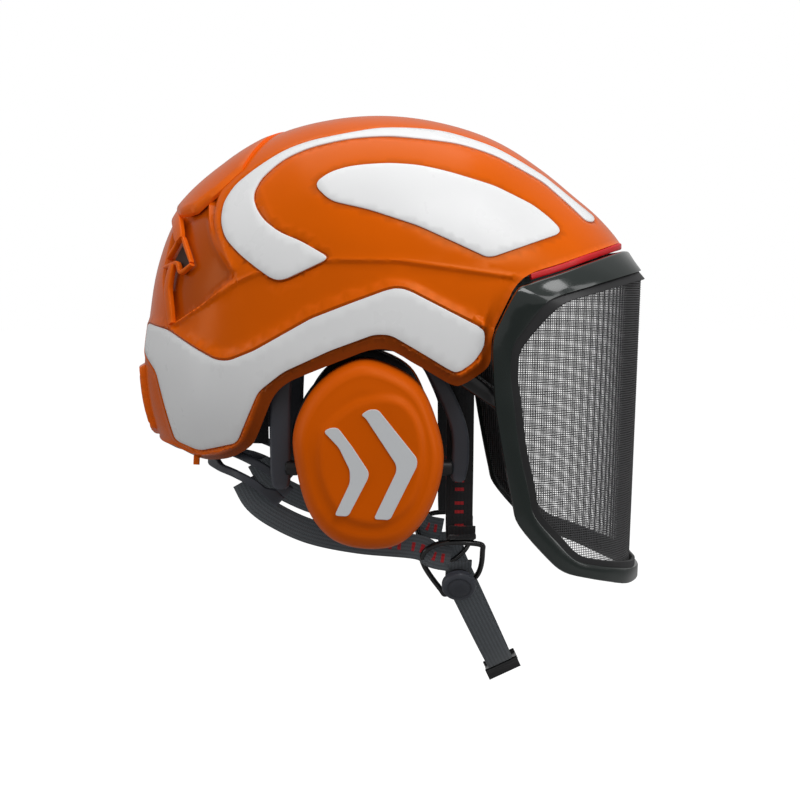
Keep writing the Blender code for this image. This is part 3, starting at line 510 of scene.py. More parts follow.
def spaced(outline, spacing, closed=True):
    """Points along straight runs between the given ones."""
    pts = [np.array(p, float) for p in outline]
    found = []
    for i in range(len(pts) if closed else len(pts) - 1):
        a, b = pts[i], pts[(i + 1) % len(pts)]
        steps = max(1, round(np.linalg.norm(b - a) / spacing))
        found += [a + (b - a) * k / steps for k in range(steps)]
    return np.array(found if closed else found + [pts[-1]])


def eased(outline, reach, closed=True):
    """The outline with each corner cut back by up to the reach, three times over."""
    pts = [np.array(p, float) for p in outline]
    for limit in (reach, reach * 0.5, reach * 0.25):
        found = [] if closed else [pts[0]]
        for i in range(0 if closed else 1, len(pts) if closed else len(pts) - 1):
            before, here, after = pts[i - 1], pts[i], pts[(i + 1) % len(pts)]
            for other in (before, after):
                gap = np.linalg.norm(other - here)
                found.append(here + (other - here) * min(limit, gap * 0.3) / gap)
        pts = found if closed else found + [pts[-1]]
    return pts


def distance(points, loop, closed=True):
    """Distance of each point from a line, in the chart."""
    a = np.asarray(loop)
    b = np.roll(a, -1, axis=0)
    if not closed:
        a, b = a[:-1], b[:-1]
    best = np.full(len(points), 1e9)
    for p, q in zip(a, b):
        t = np.clip(((points - p) @ (q - p)) / ((q - p) @ (q - p)), 0, 1)
        best = np.minimum(best, np.linalg.norm(points - p - t[:, None] * (q - p), axis=1))
    return best


def inside(points, loop):
    loop = np.asarray(loop)
    hits = np.zeros(len(points), bool)
    for (ax, ay), (bx, by) in zip(loop, np.roll(loop, -1, axis=0)):
        if ay != by:
            crosses = (ay > points[:, 1]) != (by > points[:, 1])
            hits ^= crosses & (points[:, 0] < (bx - ax) * (points[:, 1] - ay) / (by - ay) + ax)
    return hits


def signed(points, loop):
    """Distance outside a closed loop, negative within it."""
    gap = distance(points, loop)
    return np.where(inside(points, loop), -gap, gap)


def beside(line, offsets, closed=True):
    """Points at these distances to one side of a line, to carry detail along it."""
    line = np.asarray(line)
    along = np.roll(line, -1, axis=0) - np.roll(line, 1, axis=0)
    along /= np.linalg.norm(along, axis=1)[:, None] + 1e-9
    side = np.stack([along[:, 1], -along[:, 0]], 1)
    keep = slice(None) if closed else slice(1, -1)
    return np.concatenate([(line + side * d)[keep] for d in offsets])


def tessellate(loop, spacing, detail=(), margin=0.5):
    """Points and triangles inside a closed chart loop, on a triangular grid with detail points added."""
    loop = np.asarray(loop)
    low, high = loop.min(0), loop.max(0)
    rows = np.arange(low[1] + spacing / 2, high[1], spacing * 0.87)
    grid = np.array([(u + (spacing / 2 if k % 2 else 0), v) for k, v in enumerate(rows)
                     for u in np.arange(low[0], high[0], spacing)])
    grid = grid[inside(grid, loop) & (distance(grid, loop) > margin * spacing)]
    if len(detail):
        extra = np.asarray(detail)
        extra = extra[inside(extra, loop) & (distance(extra, loop) > 0.5)]
        near = np.zeros(len(grid), bool)
        for start in range(0, len(grid), 500):
            part = grid[start:start + 500]
            gaps = ((part[:, None] - extra[None]) ** 2).sum(2).min(1)
            near[start:start + 500] = gaps < (spacing * 0.55) ** 2
        grid = np.concatenate([grid[~near], extra])
    verts, _, faces, *_ = delaunay_2d_cdt(
        [Vector(p) for p in np.concatenate([loop, grid])], [], [list(range(len(loop)))], 1, 1e-3
    )
    used = sorted({i for face in faces for i in face})
    places = {old: new for new, old in enumerate(used)}
    return np.array([verts[i] for i in used]), [tuple(places[i] for i in face) for face in faces]


def skin(name, flat, faces, inner, outer, look, body, nodes=(), sides=(1,), seam=False, shade=None):
    """A layer of the dome between two offsets, on one side or on both, welded on the middle plane."""
    spots, normals = from_chart(flat)
    top = spots + normals * np.broadcast_to(outer, len(flat))[:, None]
    low = spots + normals * np.broadcast_to(inner, len(flat))[:, None]
    middle = spots[:, 0] == 0
    if seam:
        top[middle, 0] = 0
        low[middle, 0] = 0
    count = len(flat)
    solid = list(faces) + [tuple(count + i for i in reversed(face)) for face in faces]
    edges = {(a, b) for face in faces for a, b in zip(face, face[1:] + face[:1])}
    for a, b in edges:
        if (b, a) not in edges and not (seam and middle[a] and middle[b]):
            solid.append((b, a, count + a, count + b))
    half = np.concatenate([top, low])
    points, found = [], []
    for side in sides:
        start = len(points)
        points += list(half * (side, 1, 1))
        found += [tuple(start + i for i in face) for face in solid]
    lay = None
    if shade is not None:
        # On the shell the lay carries painted shade: the given amount on the outside, full painted shade on
        # the inside.
        lay = np.zeros((len(points), 3))
        lay[:, 0] = np.tile(np.concatenate([shade, np.ones(count)]), len(sides))
    obj = build(name, points, found, look, body, nodes, lay)
    if seam:
        bm = bmesh.new()
        bm.from_mesh(obj.data)
        bmesh.ops.remove_doubles(bm, verts=[v for v in bm.verts if abs(v.co.x) < 1e-7], dist=1e-6)
        bmesh.ops.recalc_face_normals(bm, faces=bm.faces)
        bm.to_mesh(obj.data)
        bm.free()
        obj.data.shade_smooth()
        obj.data.set_sharp_from_angle(angle=math.radians(50))
    return obj


def middle_arc(start, end, spacing):
    steps = max(2, round(math.radians(abs(end - start)) * CHART * math.pi / 2 / spacing))
    reach = CHART * math.pi / 2
    turns = np.radians(np.linspace(start, end, steps + 1))
    return np.stack([reach * np.cos(turns), reach * np.sin(turns)], 1)


def half_region(edge, ends, spacing):
    arc = middle_arc(ends[0], ends[1], spacing)
    lower = np.concatenate([arc[:1], to_chart(edge), arc[-1:]])
    return np.concatenate([spaced(lower, spacing, closed=False)[:-1], arc[:0:-1]])


def chart_line(outline, spacing, reach, closed=True):
    """A rounded outline of the side view, spaced out in the chart."""
    return spaced(to_chart(spaced(eased(outline, reach, closed), spacing, closed)), spacing, closed)


def steadied(loop):
    """The loop with its small waves taken out high on the dome, where the side view shows them least."""
    for _ in range(30):
        high = np.clip((from_chart(loop)[0][:, 2] - 116) / 12, 0, 1)[:, None]
        middle = (np.roll(loop, 1, axis=0) + np.roll(loop, -1, axis=0)) / 2
        loop = loop + (middle - loop) * 0.5 * high
    return loop


BAND = chart_line(SIDE_BAND, 2.2, 1.8)
STRIPE = steadied(chart_line(CROWN_STRIPE, 2.4, 2.2))
PANEL = steadied(chart_line(TOP_PANEL, 2.4, 2.6))


def shell_relief(flat, rim):
    """How far the shell's outside stands from the plain dome at chart points, and how much painted shade
    darkens it there.
    """
    spots, _ = from_chart(flat)
    y, z = spots[:, 1], spots[:, 2]
    band = signed(flat, BAND)
    edge = distance(flat, rim, closed=False)
    low_side = smooth((y + 73) / 7)
    height = 1.2 * bulge(band - 1.7, 0.9) * (band > 0) - 0.7 * bulge(band - 0.4, 0.5)
    # Painted shade in the groove round the side band.
    shade = 0.75 * bulge(band - 0.4, 0.55)
    crease = np.interp(y, [p[0] for p in CREASE[::-1]], [p[1] for p in CREASE[::-1]])
    above_band = z > np.interp(y, [-67, -19, 29, 80, 122], [31, 53, 36, 12, 33])
    below = smooth((crease - z) / 2.0) * smooth((band - 2.4) / 2.0) * smooth((116 - y) / 6) * above_band
    below *= smooth((y + 90) / 8)
    height -= 1.4 * below
    height += 0.5 * bulge(z - crease - 0.3, 0.9) * smooth((112 - y) / 6) * smooth((y + 90) / 5)
    for loop in (STRIPE, PANEL):
        gap = signed(flat, loop)
        height -= 0.7 * bulge(gap - 0.4, 0.5)
        # Painted shade in the grooves round the crown stripe and top panel.
        shade += 0.6 * bulge(gap - 0.4, 0.5)
    lip = distance(flat, chart_line(LIP, 2.5, 4, closed=False), closed=False)
    height += 2.2 * bulge(lip, 1.9)
    recess = signed(flat, chart_line(REAR_RECESS, 2.5, 3))
    hollow = smooth(-recess / 3.0)
    height -= 3.4 * hollow
    # Painted shade in the rear recess, kept off the lip.
    shade += 0.45 * hollow * smooth((lip - 1.5) / 2)
    chamfer = np.clip((CHAMFER - edge) / CHAMFER, 0, 1)
    height -= 2.6 * chamfer * low_side
    height += 0.9 * bulge(edge - RIM_BEAD, 1.0) * low_side * smooth((band - 0.4) / 0.8)
    # Painted shade on the downward-facing chamfer along the rim.
    shade += 0.8 * smooth((CHAMFER - edge) / 0.8) * low_side
    return height, np.clip(shade, 0, 0.9)


def make_shell():
    loop = half_region(eased(RIM, 3, closed=False), RIM_ENDS, 2.6)
    rim_end = middle_arc(*RIM_ENDS, 2.6)[-1]
    rim = loop[: np.argmax(np.hypot(*(loop - rim_end).T) < 0.01) + 1]
    inward = np.array([1.7, 3.5, 4.8, 5.3, 6.4, 7.3, 8.2])
    detail = np.concatenate([
        beside(BAND, (-1.2, 0.0, 0.5, 1.0, 1.7, 2.6, 3.6, 4.8)),
        beside(STRIPE, (-0.8, -0.1, 0.5, 1.2)),
        beside(PANEL, (-0.8, -0.1, 0.5, 1.2)),
        beside(rim, -inward, closed=False),
        beside(rim, inward, closed=False),
        beside(chart_line(CREASE, 2.6, 5, closed=False), (-2.2, -1.2, -0.3, 0.3, 1.2, 2.2), closed=False),
        beside(chart_line(LIP, 2.5, 4, closed=False), (-3, -1.5, 0, 1.5, 3), closed=False),
        beside(chart_line(REAR_RECESS, 2.5, 3), (-3.5, -1.8, 0, 1.2)),
    ])
    keep, seen = [], set()
    for p in detail:
        cell = (round(p[0] / 0.65), round(p[1] / 0.65))
        if cell not in seen:
            seen.add(cell)
            keep.append(p)
    flat, faces = tessellate(loop, 3.4, keep)
    outer, shade = shell_relief(flat, rim)
    inner = np.minimum(outer - 0.8, -2.5)
    skin("shell", flat, faces, inner, outer, "orange_shell", "helmet", ("outer_shell",), BOTH, True, shade)
    for word, side in SIDES.items():
        for name, outline in (("side_band", BAND), ("crown_stripe", STRIPE), ("top_panel", PANEL)):
            flat, faces = tessellate(outline, 3.2, beside(outline, (-0.3, -0.6, 0.3, 0.6)))
            depth = np.clip(distance(flat, outline) / INLAY_EDGE, 0, 1)
            outer = 0.3 + 0.4 * np.sqrt(1 - (1 - depth) ** 2)
            skin(f"inlay_{name}_{word}", flat, faces, -0.9, outer, "white_inlay", "helmet",
                 (f"{name}_{word}",), (side,))


# ---- shell trim

def make_hood_and_clip():
    border = to_chart(HOOD_EDGE)
    flat, faces = tessellate(spaced(np.concatenate([middle_arc(120, 153.5, 3), border]), 3), 3)
    spots, _ = from_chart(flat)
    degrees = np.degrees(np.arctan2(spots[:, 2] - DOME_Z, DOME_Y - spots[:, 1]))
    edge = smooth(distance(flat, border[::-1], closed=False) / 3)
    nose = smooth((152.6 - degrees) / 2.0) * smooth((degrees - 121) / 5)
    rise = 1.3 + 2.2 * np.clip((degrees - 137) / 16, 0, 1)
    outer = 0.3 + rise * edge * (0.35 + 0.65 * nose)
    skin("rear_hood", flat, faces, -2.0, outer, "orange_shell", "helmet", ("rear_vent_hood",), BOTH, True)

    loop = np.concatenate([middle_arc(187, 203.5, 3), to_chart(CLIP_EDGE)])
    flat, faces = tessellate(spaced(loop, 3), 2.4)
    gap = distance(flat, loop)
    outer = 0.4 + 3.0 * smooth(gap / 2.2) - 1.9 * bulge(gap - 5.5, 1.4)
    skin("nape_clip", flat, faces, -1.0, outer, "orange_shell", "helmet", ("nape_bumper",), BOTH, True)


def make_seal():
    edge = [(y, z - 2.2) for y, z in RIM[:4]]
    half = [np.array([dome_half_width(y, z) - 1.8, y, z]) for y, z in reversed(edge)]
    path = half + [np.array([0, -152.8, 77.9])] + [p * (-1, 1, 1) for p in reversed(half)]
    bar("seal", curve(path, 8), rounded_box(3.8, 2.2, 0.8), (0, 0, 1), "red_seal", "helmet", ("brow_seal",))


def make_vent(word, side):
    flip = np.array([side, 1, 1])
    for name, (line, wide, lift) in VENT_STRUTS.items():
        spots, normals = from_chart(to_chart(curve(line, 6)))
        path = (spots + normals * lift) * flip
        ways = np.cross(np.gradient(path, axis=0), normals * flip)
        sizes = wide * (1 - 0.35 * np.linspace(-1, 1, len(path)) ** 4)
        outlines = [rounded_box(size, 3.4, 0.8) for size in sizes]
        bar(f"vent_{name}_{word}", path, outlines, ways, "orange_trim", "helmet")
    # A dark brown sheet below the vent opening: painted shade where the opening is shadowed.
    flat, faces = tessellate(spaced(to_chart(VENT_HOLE), 2), 3)
    skin(f"vent_shadow_sheet_{word}", flat, faces, -4.0, -2.6, "vent_dark", "helmet", (), (side,))
    tab = [(side * 50.0, 97, -36), (side * 50.0, 98, -44), (side * 50.0, 98.3, -49.5)]
    bar(f"rim_tab_{word}", tab, rounded_box(3.6, 2.4, 0.7), (0, 1, 0.1), "orange_trim", "helmet")


# ---- visor

SHEET_X, SHEET_DEPTH, SHEET_ROUND = 106.0, 107.8, 2.4
FRAME_WALL = 4.5
WIRE_PITCH, WIRE_WIDTH = 1.35, 0.42
ARM_STOPS = [
    (-9, 0, 12), (0, 0, 13), (30, 0, 11), (52, 0, 9.5), (64, 0.4, 9), (71, 4.0, 8.5), (78, 4.6, 8),
    (80, 4.6, 7),
]
FRAME_OUTER = [
    (-161, -121), (-160, -120.5), (-150, -118.5), (-138, -114.5), (-125, -110.5), (-112, -106),
    (-102, -97.5), (-86, -78.5), (-82, -65.5), (-77, -40), (-74, -22.5), (-72.3, -10), (-71, 11),
    (-71.3, 25), (-75, 35), (-84, 52),
]
FRAME_INNER = [
    (-161, -107.5), (-160, -107.2), (-155, -106.7), (-143, -103.5), (-131.5, -100.5), (-119.5, -96),
    (-108, -83.5), (-97.7, -70.7), (-94.8, -57), (-90.5, -38), (-88.4, -23), (-87, -10), (-85, 5.5),
    (-86.5, 18.5), (-94, 29), (-105.5, 41),
]
BROW_OUTER = [(-91, 56), (-108, 61.5), (-127, 68), (-147, 74.3), (-157.5, 76)]
BROW_INNER = [(-115, 46.5), (-133, 51.5), (-150, 56), (-162, 58.5), (-167.5, 59)]


def sheet_back(z):
    """y of the sheet's rear edge, which leans with height."""
    return -60 + (59 - z) * 0.035


def sheet_point(y, z, offset):
    """The visor sheet's point nearest a side-view point, moved out along its normal seen from above."""
    back = sheet_back(z)
    ahead = min(max((back - y) / SHEET_DEPTH, 0), 1.0)
    x = SHEET_X * (1 - ahead**SHEET_ROUND) ** (1 / SHEET_ROUND)
    power = SHEET_ROUND - 1
    out = np.array([(x / SHEET_X) ** power / SHEET_X, -(ahead**power) / SHEET_DEPTH, 0.0])
    return np.array([x, back - ahead * SHEET_DEPTH, z]) + out / np.linalg.norm(out) * offset


def sheet_at(turn, z, offset):
    """The sheet's point at a turn round it, from 0 at the left temple to pi at the right."""
    share = math.sin(turn) ** (2 / SHEET_ROUND)
    spot = sheet_point(sheet_back(z) - share * SHEET_DEPTH, z, 0.0)
    out = sheet_point(spot[1], z, 1.0) - spot
    spot = spot + out * offset
    return spot * (1 if math.cos(turn) > 0 else -1, 1, 1)


def frame_sections():
    sections = []
    for (yo, zo), (yi, zi) in zip(FRAME_OUTER, FRAME_INNER):
        sections.append([sheet_point(yo, zo, 0.0), sheet_point(yo, zo, FRAME_WALL),
                         sheet_point(yi, zi, FRAME_WALL), sheet_point(yi, zi, 0.0)])
    for (yo, zo), (yi, zi) in zip(BROW_OUTER, BROW_INNER):
        x = dome_half_width(yo, zo)
        near = np.array([x + 2.4 if x else 0.0, yo, zo])
        away = near + (sheet_point(yi, zi, FRAME_WALL) - sheet_point(yi, zi, 0.0)) * 0.8
        sections.append([near, away, sheet_point(yi, zi, FRAME_WALL), sheet_point(yi, zi, 0.0)])
    for section in (sections[0], sections[-1]):
        for corner in section:
            corner[0] = 0.0
    return sections


def blunt(corners, radius, steps=2):
    """A polygon of 3-D points with its corners rounded."""
    found = []
    for i, here in enumerate(corners):
        ends = []
        for other in (corners[i - 1], corners[(i + 1) % len(corners)]):
            gap = np.linalg.norm(other - here)
            ends.append(here + (other - here) * min(radius, gap * 0.45) / gap)
        for k in range(steps + 1):
            t = k / steps
            found.append(ends[0] * (1 - t) ** 2 + here * 2 * t * (1 - t) + ends[1] * t**2)
    return found


def mirrored_loop(half):
    """Rings round the whole frame from those of one side, which start and end on the middle plane."""
    other = [[p * (-1, 1, 1) for p in ring] for ring in half[-2:0:-1]]
    return [list(ring) for ring in half] + other


def make_visor_frame():
    columns = [curve([section[k] for section in frame_sections()], 4) for k in range(4)]
    faces, lips = [], []
    for a, b, c, d in zip(*columns):
        split = b + (c - b) * 0.7
        step = (d - c) * 0.5
        faces.append(blunt([a, b, split, split + step * 1.6, a + (d - a) * 0.6], 1.1))
        shelf = split + step * 0.9
        lips.append(blunt([shelf + (b - split) * 0.1, shelf, c + step * 0.9, d, a + (d - a) * 0.5], 0.6, 1))
    for ring_set in (faces, lips):
        for ring in (ring_set[0], ring_set[-1]):
            for corner in ring:
                corner[0] = 0.0
    build("visor_frame_body", *loft(mirrored_loop(faces), True), "visor_frame", "visor", ("visor_frame",))
    build("visor_frame_lip", *loft(mirrored_loop(lips), True), "frame_lip", "visor")


def wire_limits():
    """Heights down the sheet, and how far back (y) the wires reach at each to be held in the frame."""
    held = zip(FRAME_OUTER[2:-1], FRAME_INNER[2:-1])
    side = [(zo * 0.8 + zi * 0.2, yo * 0.8 + yi * 0.2) for (yo, zo), (yi, zi) in held]
    side += [(zi - 0.2, yi + 1.0) for yi, zi in BROW_INNER[:-1]]
    return np.array(sorted(side)).T


def cross_wires(levels, limits):
    """Three-sided wires round the face, each as rows of its three corners."""
    for z in np.arange(levels[0], levels[-1], WIRE_PITCH):
        reach = (sheet_back(z) - np.interp(z, levels, limits)) / SHEET_DEPTH
        start = math.asin(min(max(reach, 0), 0.999) ** (SHEET_ROUND / 2))
        low, high = z - WIRE_WIDTH / 2, z + WIRE_WIDTH / 2
        yield [[sheet_at(turn, low, -1.0), sheet_at(turn, high, -1.0), sheet_at(turn, z, -1.35)]
               for turn in np.linspace(start, math.pi - start, 72)]


def upright_wires(levels, limits):
    """Three-sided wires from top to bottom, evenly spaced round the sheet."""
    turns = np.linspace(0.02, math.pi - 0.02, 1200)
    track = np.array([sheet_at(turn, 0.0, -1.2) for turn in turns])
    gone = np.concatenate([[0], np.cumsum(np.linalg.norm(np.diff(track, axis=0), axis=1))])
    heights = np.linspace(levels[0], levels[-1], 200)
    for reach in np.arange(0, gone[-1], WIRE_PITCH):
        turn = np.interp(reach, gone, turns)
        beyond = np.interp(reach + WIRE_WIDTH, gone, turns)
        y = sheet_back(heights) - math.sin(turn) ** (2 / SHEET_ROUND) * SHEET_DEPTH
        fits = heights[y <= np.interp(heights, levels, limits)]
        if len(fits) > 1:
            between = (turn + beyond) / 2
            yield [[sheet_at(turn, z, -1.25), sheet_at(beyond, z, -1.25), sheet_at(between, z, -1.6)]
                   for z in np.linspace(fits[0], fits[-1], 24)]


def make_visor_mesh():
    levels, limits = wire_limits()
    points, faces = [], []
    for rows in [*cross_wires(levels, limits), *upright_wires(levels, limits)]:
        for i in range(len(rows) - 1):
            for k in range(3):
                a, b = len(points) + i * 3 + k, len(points) + i * 3 + (k + 1) % 3
                faces.append((a, b, b + 3, a + 3))
        points += [corner for row in rows for corner in row]
    build("visor_wires", points, faces, "visor_mesh", "visor", ("visor_mesh",))


def make_visor_arm(word, side):
    hub = np.array([side * 93.0, DOME_Y, DOME_Z])
    turn = math.radians(-35)
    ahead = np.array([0, -math.cos(turn), math.sin(turn)])
    across = np.array([0, math.sin(turn), math.cos(turn)])
    path = curve([hub + ahead * reach + np.array([side * out, 0, 0]) for reach, out, _ in ARM_STOPS], 5)
    sizes = stretched([stop[2] for stop in ARM_STOPS], len(path))
    outlines = [rounded_box(size, 4.2, 2.0, 4) for size in sizes]
    bar(f"arm_{word}", path, outlines, across, "black_gloss", "visor", (f"visor_arm_{word}",))


# ---- ear defenders

CUP_CENTRE, CUP_FACE_X = np.array([-3.5, -39.0]), 113.0
CUP_OUTLINE = [
    (-5, 14.5), (13, 11), (30, -4), (39.5, -25), (38.5, -46), (31, -72), (17, -88), (-3.5, -93),
    (-22, -89), (-37, -72), (-45, -46), (-42, -23), (-30, 2),
]
PLATEAU = [(-9, -3), (18, -16), (27, -35), (21, -63), (7.5, -77), (-20, -77), (-34, -52), (-31, -13)]
CHEVRONS = {
    "small": [
        (22, -25), (18, -23), (14, -23), (6.5, -33), (-3, -47.5), (-2.5, -51), (8.5, -72), (16, -71.5),
        (7.5, -53.5), (7.5, -46.5), (13.5, -34),
    ],
    "large": [
        (1.5, -16), (-3, -13), (-8, -13), (-29.5, -40), (-29.5, -44), (-14.5, -74), (-5.5, -73.5),
        (-18, -47.5), (-18, -43.5), (-1, -17.5),
    ],
}
CUP_SCALE = 0.988
CUP_STEPS = [
    (0.90, 81.2), (0.955, 81.0), (0.985, 81.8), (1.0, 83.5), (1.0, 90.0), (1.0, 96.0), (0.995, 99.5),
    (0.98, 102.8), (0.955, 105.6), (0.92, 107.8), (0.88, 109.3), (0.84, 110.2),
]
CUP_TOP_SCALES = (0.815, 0.79, 0.765, 0.74, 0.71, 0.68, 0.65, 0.62, 0.59, 0.55, 0.5, 0.4, 0.25, 0.1)
BASE_STEPS = [(0.9, 82.4), (0.965, 82.2), (0.98, 81.6), (0.98, 80.9), (0.96, 80.5), (0.9, 80.5)]
YOKE_X, YOKE_ROUTE = 83.5, [
    (47, -60), (47, -48), (47, -8), (42, 12), (30, 22), (0, 22), (-24, 20), (-36, 11), (-47, -8),
    (-54, -27), (-54.5, -44), (-53, -56),
]
YOKE_WIDTHS = [9, 12, 12, 9, 7, 7, 7, 8, 9, 9.5, 10, 8]


def make_ear_cup(word, side):
    flip = np.array([side, 1, 1])
    cup = f"cup_{word}"
    outline = np.array(curve(CUP_OUTLINE, 8, closed=True))
    plateau = spaced(eased(PLATEAU, 9), 1.5)

    def ring(scale, x):
        flat = CUP_CENTRE + (outline - CUP_CENTRE) * scale * CUP_SCALE
        return np.column_stack([np.full(len(flat), x), flat])

    rings = [ring(0.9, 96.0)] + [ring(*step) for step in CUP_STEPS]
    for scale in CUP_TOP_SCALES:
        flat = ring(scale, 0.0)
        rise = smooth((2.4 - signed(flat[:, 1:], plateau)) / 4.8)
        dome = 110.2 + 1.1 * smooth((0.84 - scale) / 0.2)
        flat[:, 0] = dome + (CUP_FACE_X - dome) * rise
        rings.append(flat)
    rings = [r * flip for r in rings]
    build(f"cup_body_{word}", *loft(rings), "orange_cup", cup, (f"ear_cup_{word}",), sharp=60)
    for name, shape in CHEVRONS.items():
        corners = np.array(eased(shape, 1.1))
        steps = []
        for rise, inset in ((-0.1, 0.0), (0.5, 0.0), (0.75, 0.25)):
            flat = corners + beside_inset(corners, inset)
            steps.append(np.column_stack([np.full(len(flat), CUP_FACE_X + rise), flat]) * flip)
        build(f"mark_{name}_{word}", *loft(steps), "reflector", cup, (f"chevron_{name}_{word}",), sharp=20)

    base = []
    for scale, x in BASE_STEPS:
        flat = CUP_CENTRE + (1.5, 1.0) + (outline - CUP_CENTRE) * scale
        base.append(np.column_stack([np.full(len(flat), x), flat]) * flip)
    build(f"cup_base_{word}", *loft(base), "black_plastic", cup)


def make_yoke(word, side):
    body = f"yoke_{word}"
    path = curve([(side * YOKE_X, y, z) for y, z in YOKE_ROUTE], 6)
    sizes = stretched(YOKE_WIDTHS, len(path))
    sizes[0] = sizes[-1] = 5.0
    ways = [np.cross(way, (1, 0, 0)) for way in np.gradient(np.array(path), axis=0)]
    outlines = [rounded_box(size, 4.9, 1.9, 4) for size in sizes]
    bar(f"yoke_arm_{word}", path, outlines, ways, "slate_plastic", body, (f"ear_yoke_{word}",))
    for k, y in enumerate((2.0, 24.0)):
        turned(f"yoke_knuckle_{k}_{word}", (side * 83, y, 31), (0, 1, 0),
               [(0, 3.4), (0.6, 4.5), (6.4, 4.5), (7, 3.4)], "slate_plastic", body, sides=32)
        web = [(side * YOKE_X, y + 3.5, z) for z in (20.5, 24, 29)]
        bar(f"yoke_web_{k}_{word}", web, rounded_box(6.6, 4.2, 1.2), (0, 1, 0), "slate_plastic", body)
    for k, (y, out) in enumerate(((-52.5, 1), (46.5, -1))):
        turned(f"yoke_pin_{k}_{word}", (side * 84, y + out * 2, -48), (0, out, 0),
               [(0, 3.2), (1.0, 4.4), (6.5, 4.4), (7.2, 3.6)], "black_plastic", body, sides=32)


def beside_inset(loop, inset):
    """How far each point of a closed outline moves to shrink it by the inset."""
    if not inset:
        return np.zeros_like(loop)
    along = np.roll(loop, -1, axis=0) - np.roll(loop, 1, axis=0)
    along /= np.linalg.norm(along, axis=1)[:, None]
    side = np.stack([along[:, 1], -along[:, 0]], 1) * inset
    return side if inside(loop + side, loop).mean() > 0.5 else -side


# ---- headband and cradle

def band_point(degrees, out=0.0, up=0.0):
    turn = math.radians(degrees)
    y = -(102 + out) * math.cos(turn)
    return np.array([(76 + out) * math.sin(turn), -10 + y, 36 - 0.42 * y + up])


def make_headband():
    angles = np.linspace(-150, 150, 121)
    heights = 26 - 10 * np.sin(np.radians(np.minimum(np.abs(angles), 90)))
    bar("band", [band_point(a) for a in angles], [rounded_box(h, 2.0, 0.9) for h in heights], (0, 0, 1),
        "black_plastic", "helmet", ("front_band",))
    half = [(66, 46, -67), (67, 58, -56), (61, 72, -49), (46, 84, -46), (24, 92, -45)]
    path = np.array(curve([(-x, y, z) for x, y, z in half] + [(0, 94, -45)] + list(reversed(half)), 8))
    lean = np.clip(np.abs(path[:, 0]) / 62, 0, 1) ** 2
    ways = np.column_stack([np.zeros(len(path)), -0.35 * lean, np.ones(len(path))])
    reach = np.linspace(-1, 1, len(path))
    open_part = smooth((np.abs(reach) - 0.30) / 0.15) * smooth((0.93 - np.abs(reach)) / 0.08)
    for name, sign in (("upper", 1), ("lower", -1)):
        outlines = []
        for size, shift in zip(8.0 - 3.2 * open_part, sign * (3.6 + 1.9 * open_part)):
            outlines.append([(w + shift, t) for w, t in rounded_box(size, 3.2, 1.3, 4)])
        nodes = ("nape_cradle",) if sign > 0 else ()
        bar(f"cradle_{name}", path, outlines, ways, "slate_plastic", "helmet", nodes)


# ---- straps

RING_CENTRE, RING_TILT = (60.0, -52.0, -107.0), math.radians(30)
RING_OUTLINE = [(18.5, 3.8), (9, 15), (-13.5, 15), (-16.5, 9), (-13.5, -9), (2.5, -22), (7.5, -18.5)]
BUTTON_AT = (-3.0, -9.7)
SEAT_STEPS = [(2.6, 7.5), (2.9, 8.4), (3.6, 8.4), (3.8, 8.0)]
BUTTON_STEPS = [
    (5.6, 9.2), (6.0, 10.0), (8.6, 10.0), (9.8, 9.5), (10.5, 8.4), (10.7, 7.4), (10.4, 7.0), (10.4, 6.3),
    (10.9, 5.8), (11.2, 3.5), (11.3, 1.0),
]
FRONT_ROUTE = [(80, -55, 26), (77, -55, 0), (70, -55, -45), (63.5, -55, -88)]
REAR_ROUTE = [
    (57, 70, -58.5), (59, 63, -70), (62, 50, -79), (64, 30, -87.5), (64, 3, -93), (63, -30.5, -96.5),
]
NAPE_ROUTE = [(60, 63, -36), (66, 63, -15), (70, 64, 10), (71, 66, 30)]
CHIN_END, CHIN_SAG = (52.4, -59.5, -126.0), 57
CHIN_DOWN, CHIN_WAY = np.array([0, -0.427, -0.904]), np.array([0, -0.906, 0.42])
WEBBING = rounded_box(15.7, 1.5, 0.65, 2)


def ring_point(side, along, up, out=0.0):
    x = RING_CENTRE[0] + up * math.sin(RING_TILT) + out * math.cos(RING_TILT)
    z = RING_CENTRE[2] + up * math.cos(RING_TILT) - out * math.sin(RING_TILT)
    return np.array([side * x, RING_CENTRE[1] + along, z])


def make_ring_and_button(word, side):
    normal = ring_point(side, 0, 0, 1.0) - ring_point(side, 0, 0)
    tube = [(1.75 * math.cos(a), 1.6 * math.sin(a)) for a in np.linspace(0, 2 * math.pi, 12, endpoint=False)]
    loop = [ring_point(side, *p) for p in curve(RING_OUTLINE, 8, closed=True)]
    bar(f"ring_{word}", loop, tube, normal, "black_gloss", "helmet", (f"strap_ring_{word}",), closed=True)
    seat = ring_point(side, *BUTTON_AT)
    turned(f"seat_{word}", seat, normal, SEAT_STEPS, "black_plastic", "helmet", (f"button_seat_{word}",), 48)
    turned(f"button_{word}", seat, normal, BUTTON_STEPS, "slate_plastic", f"button_{word}",
           (f"strap_button_{word}",), 48)


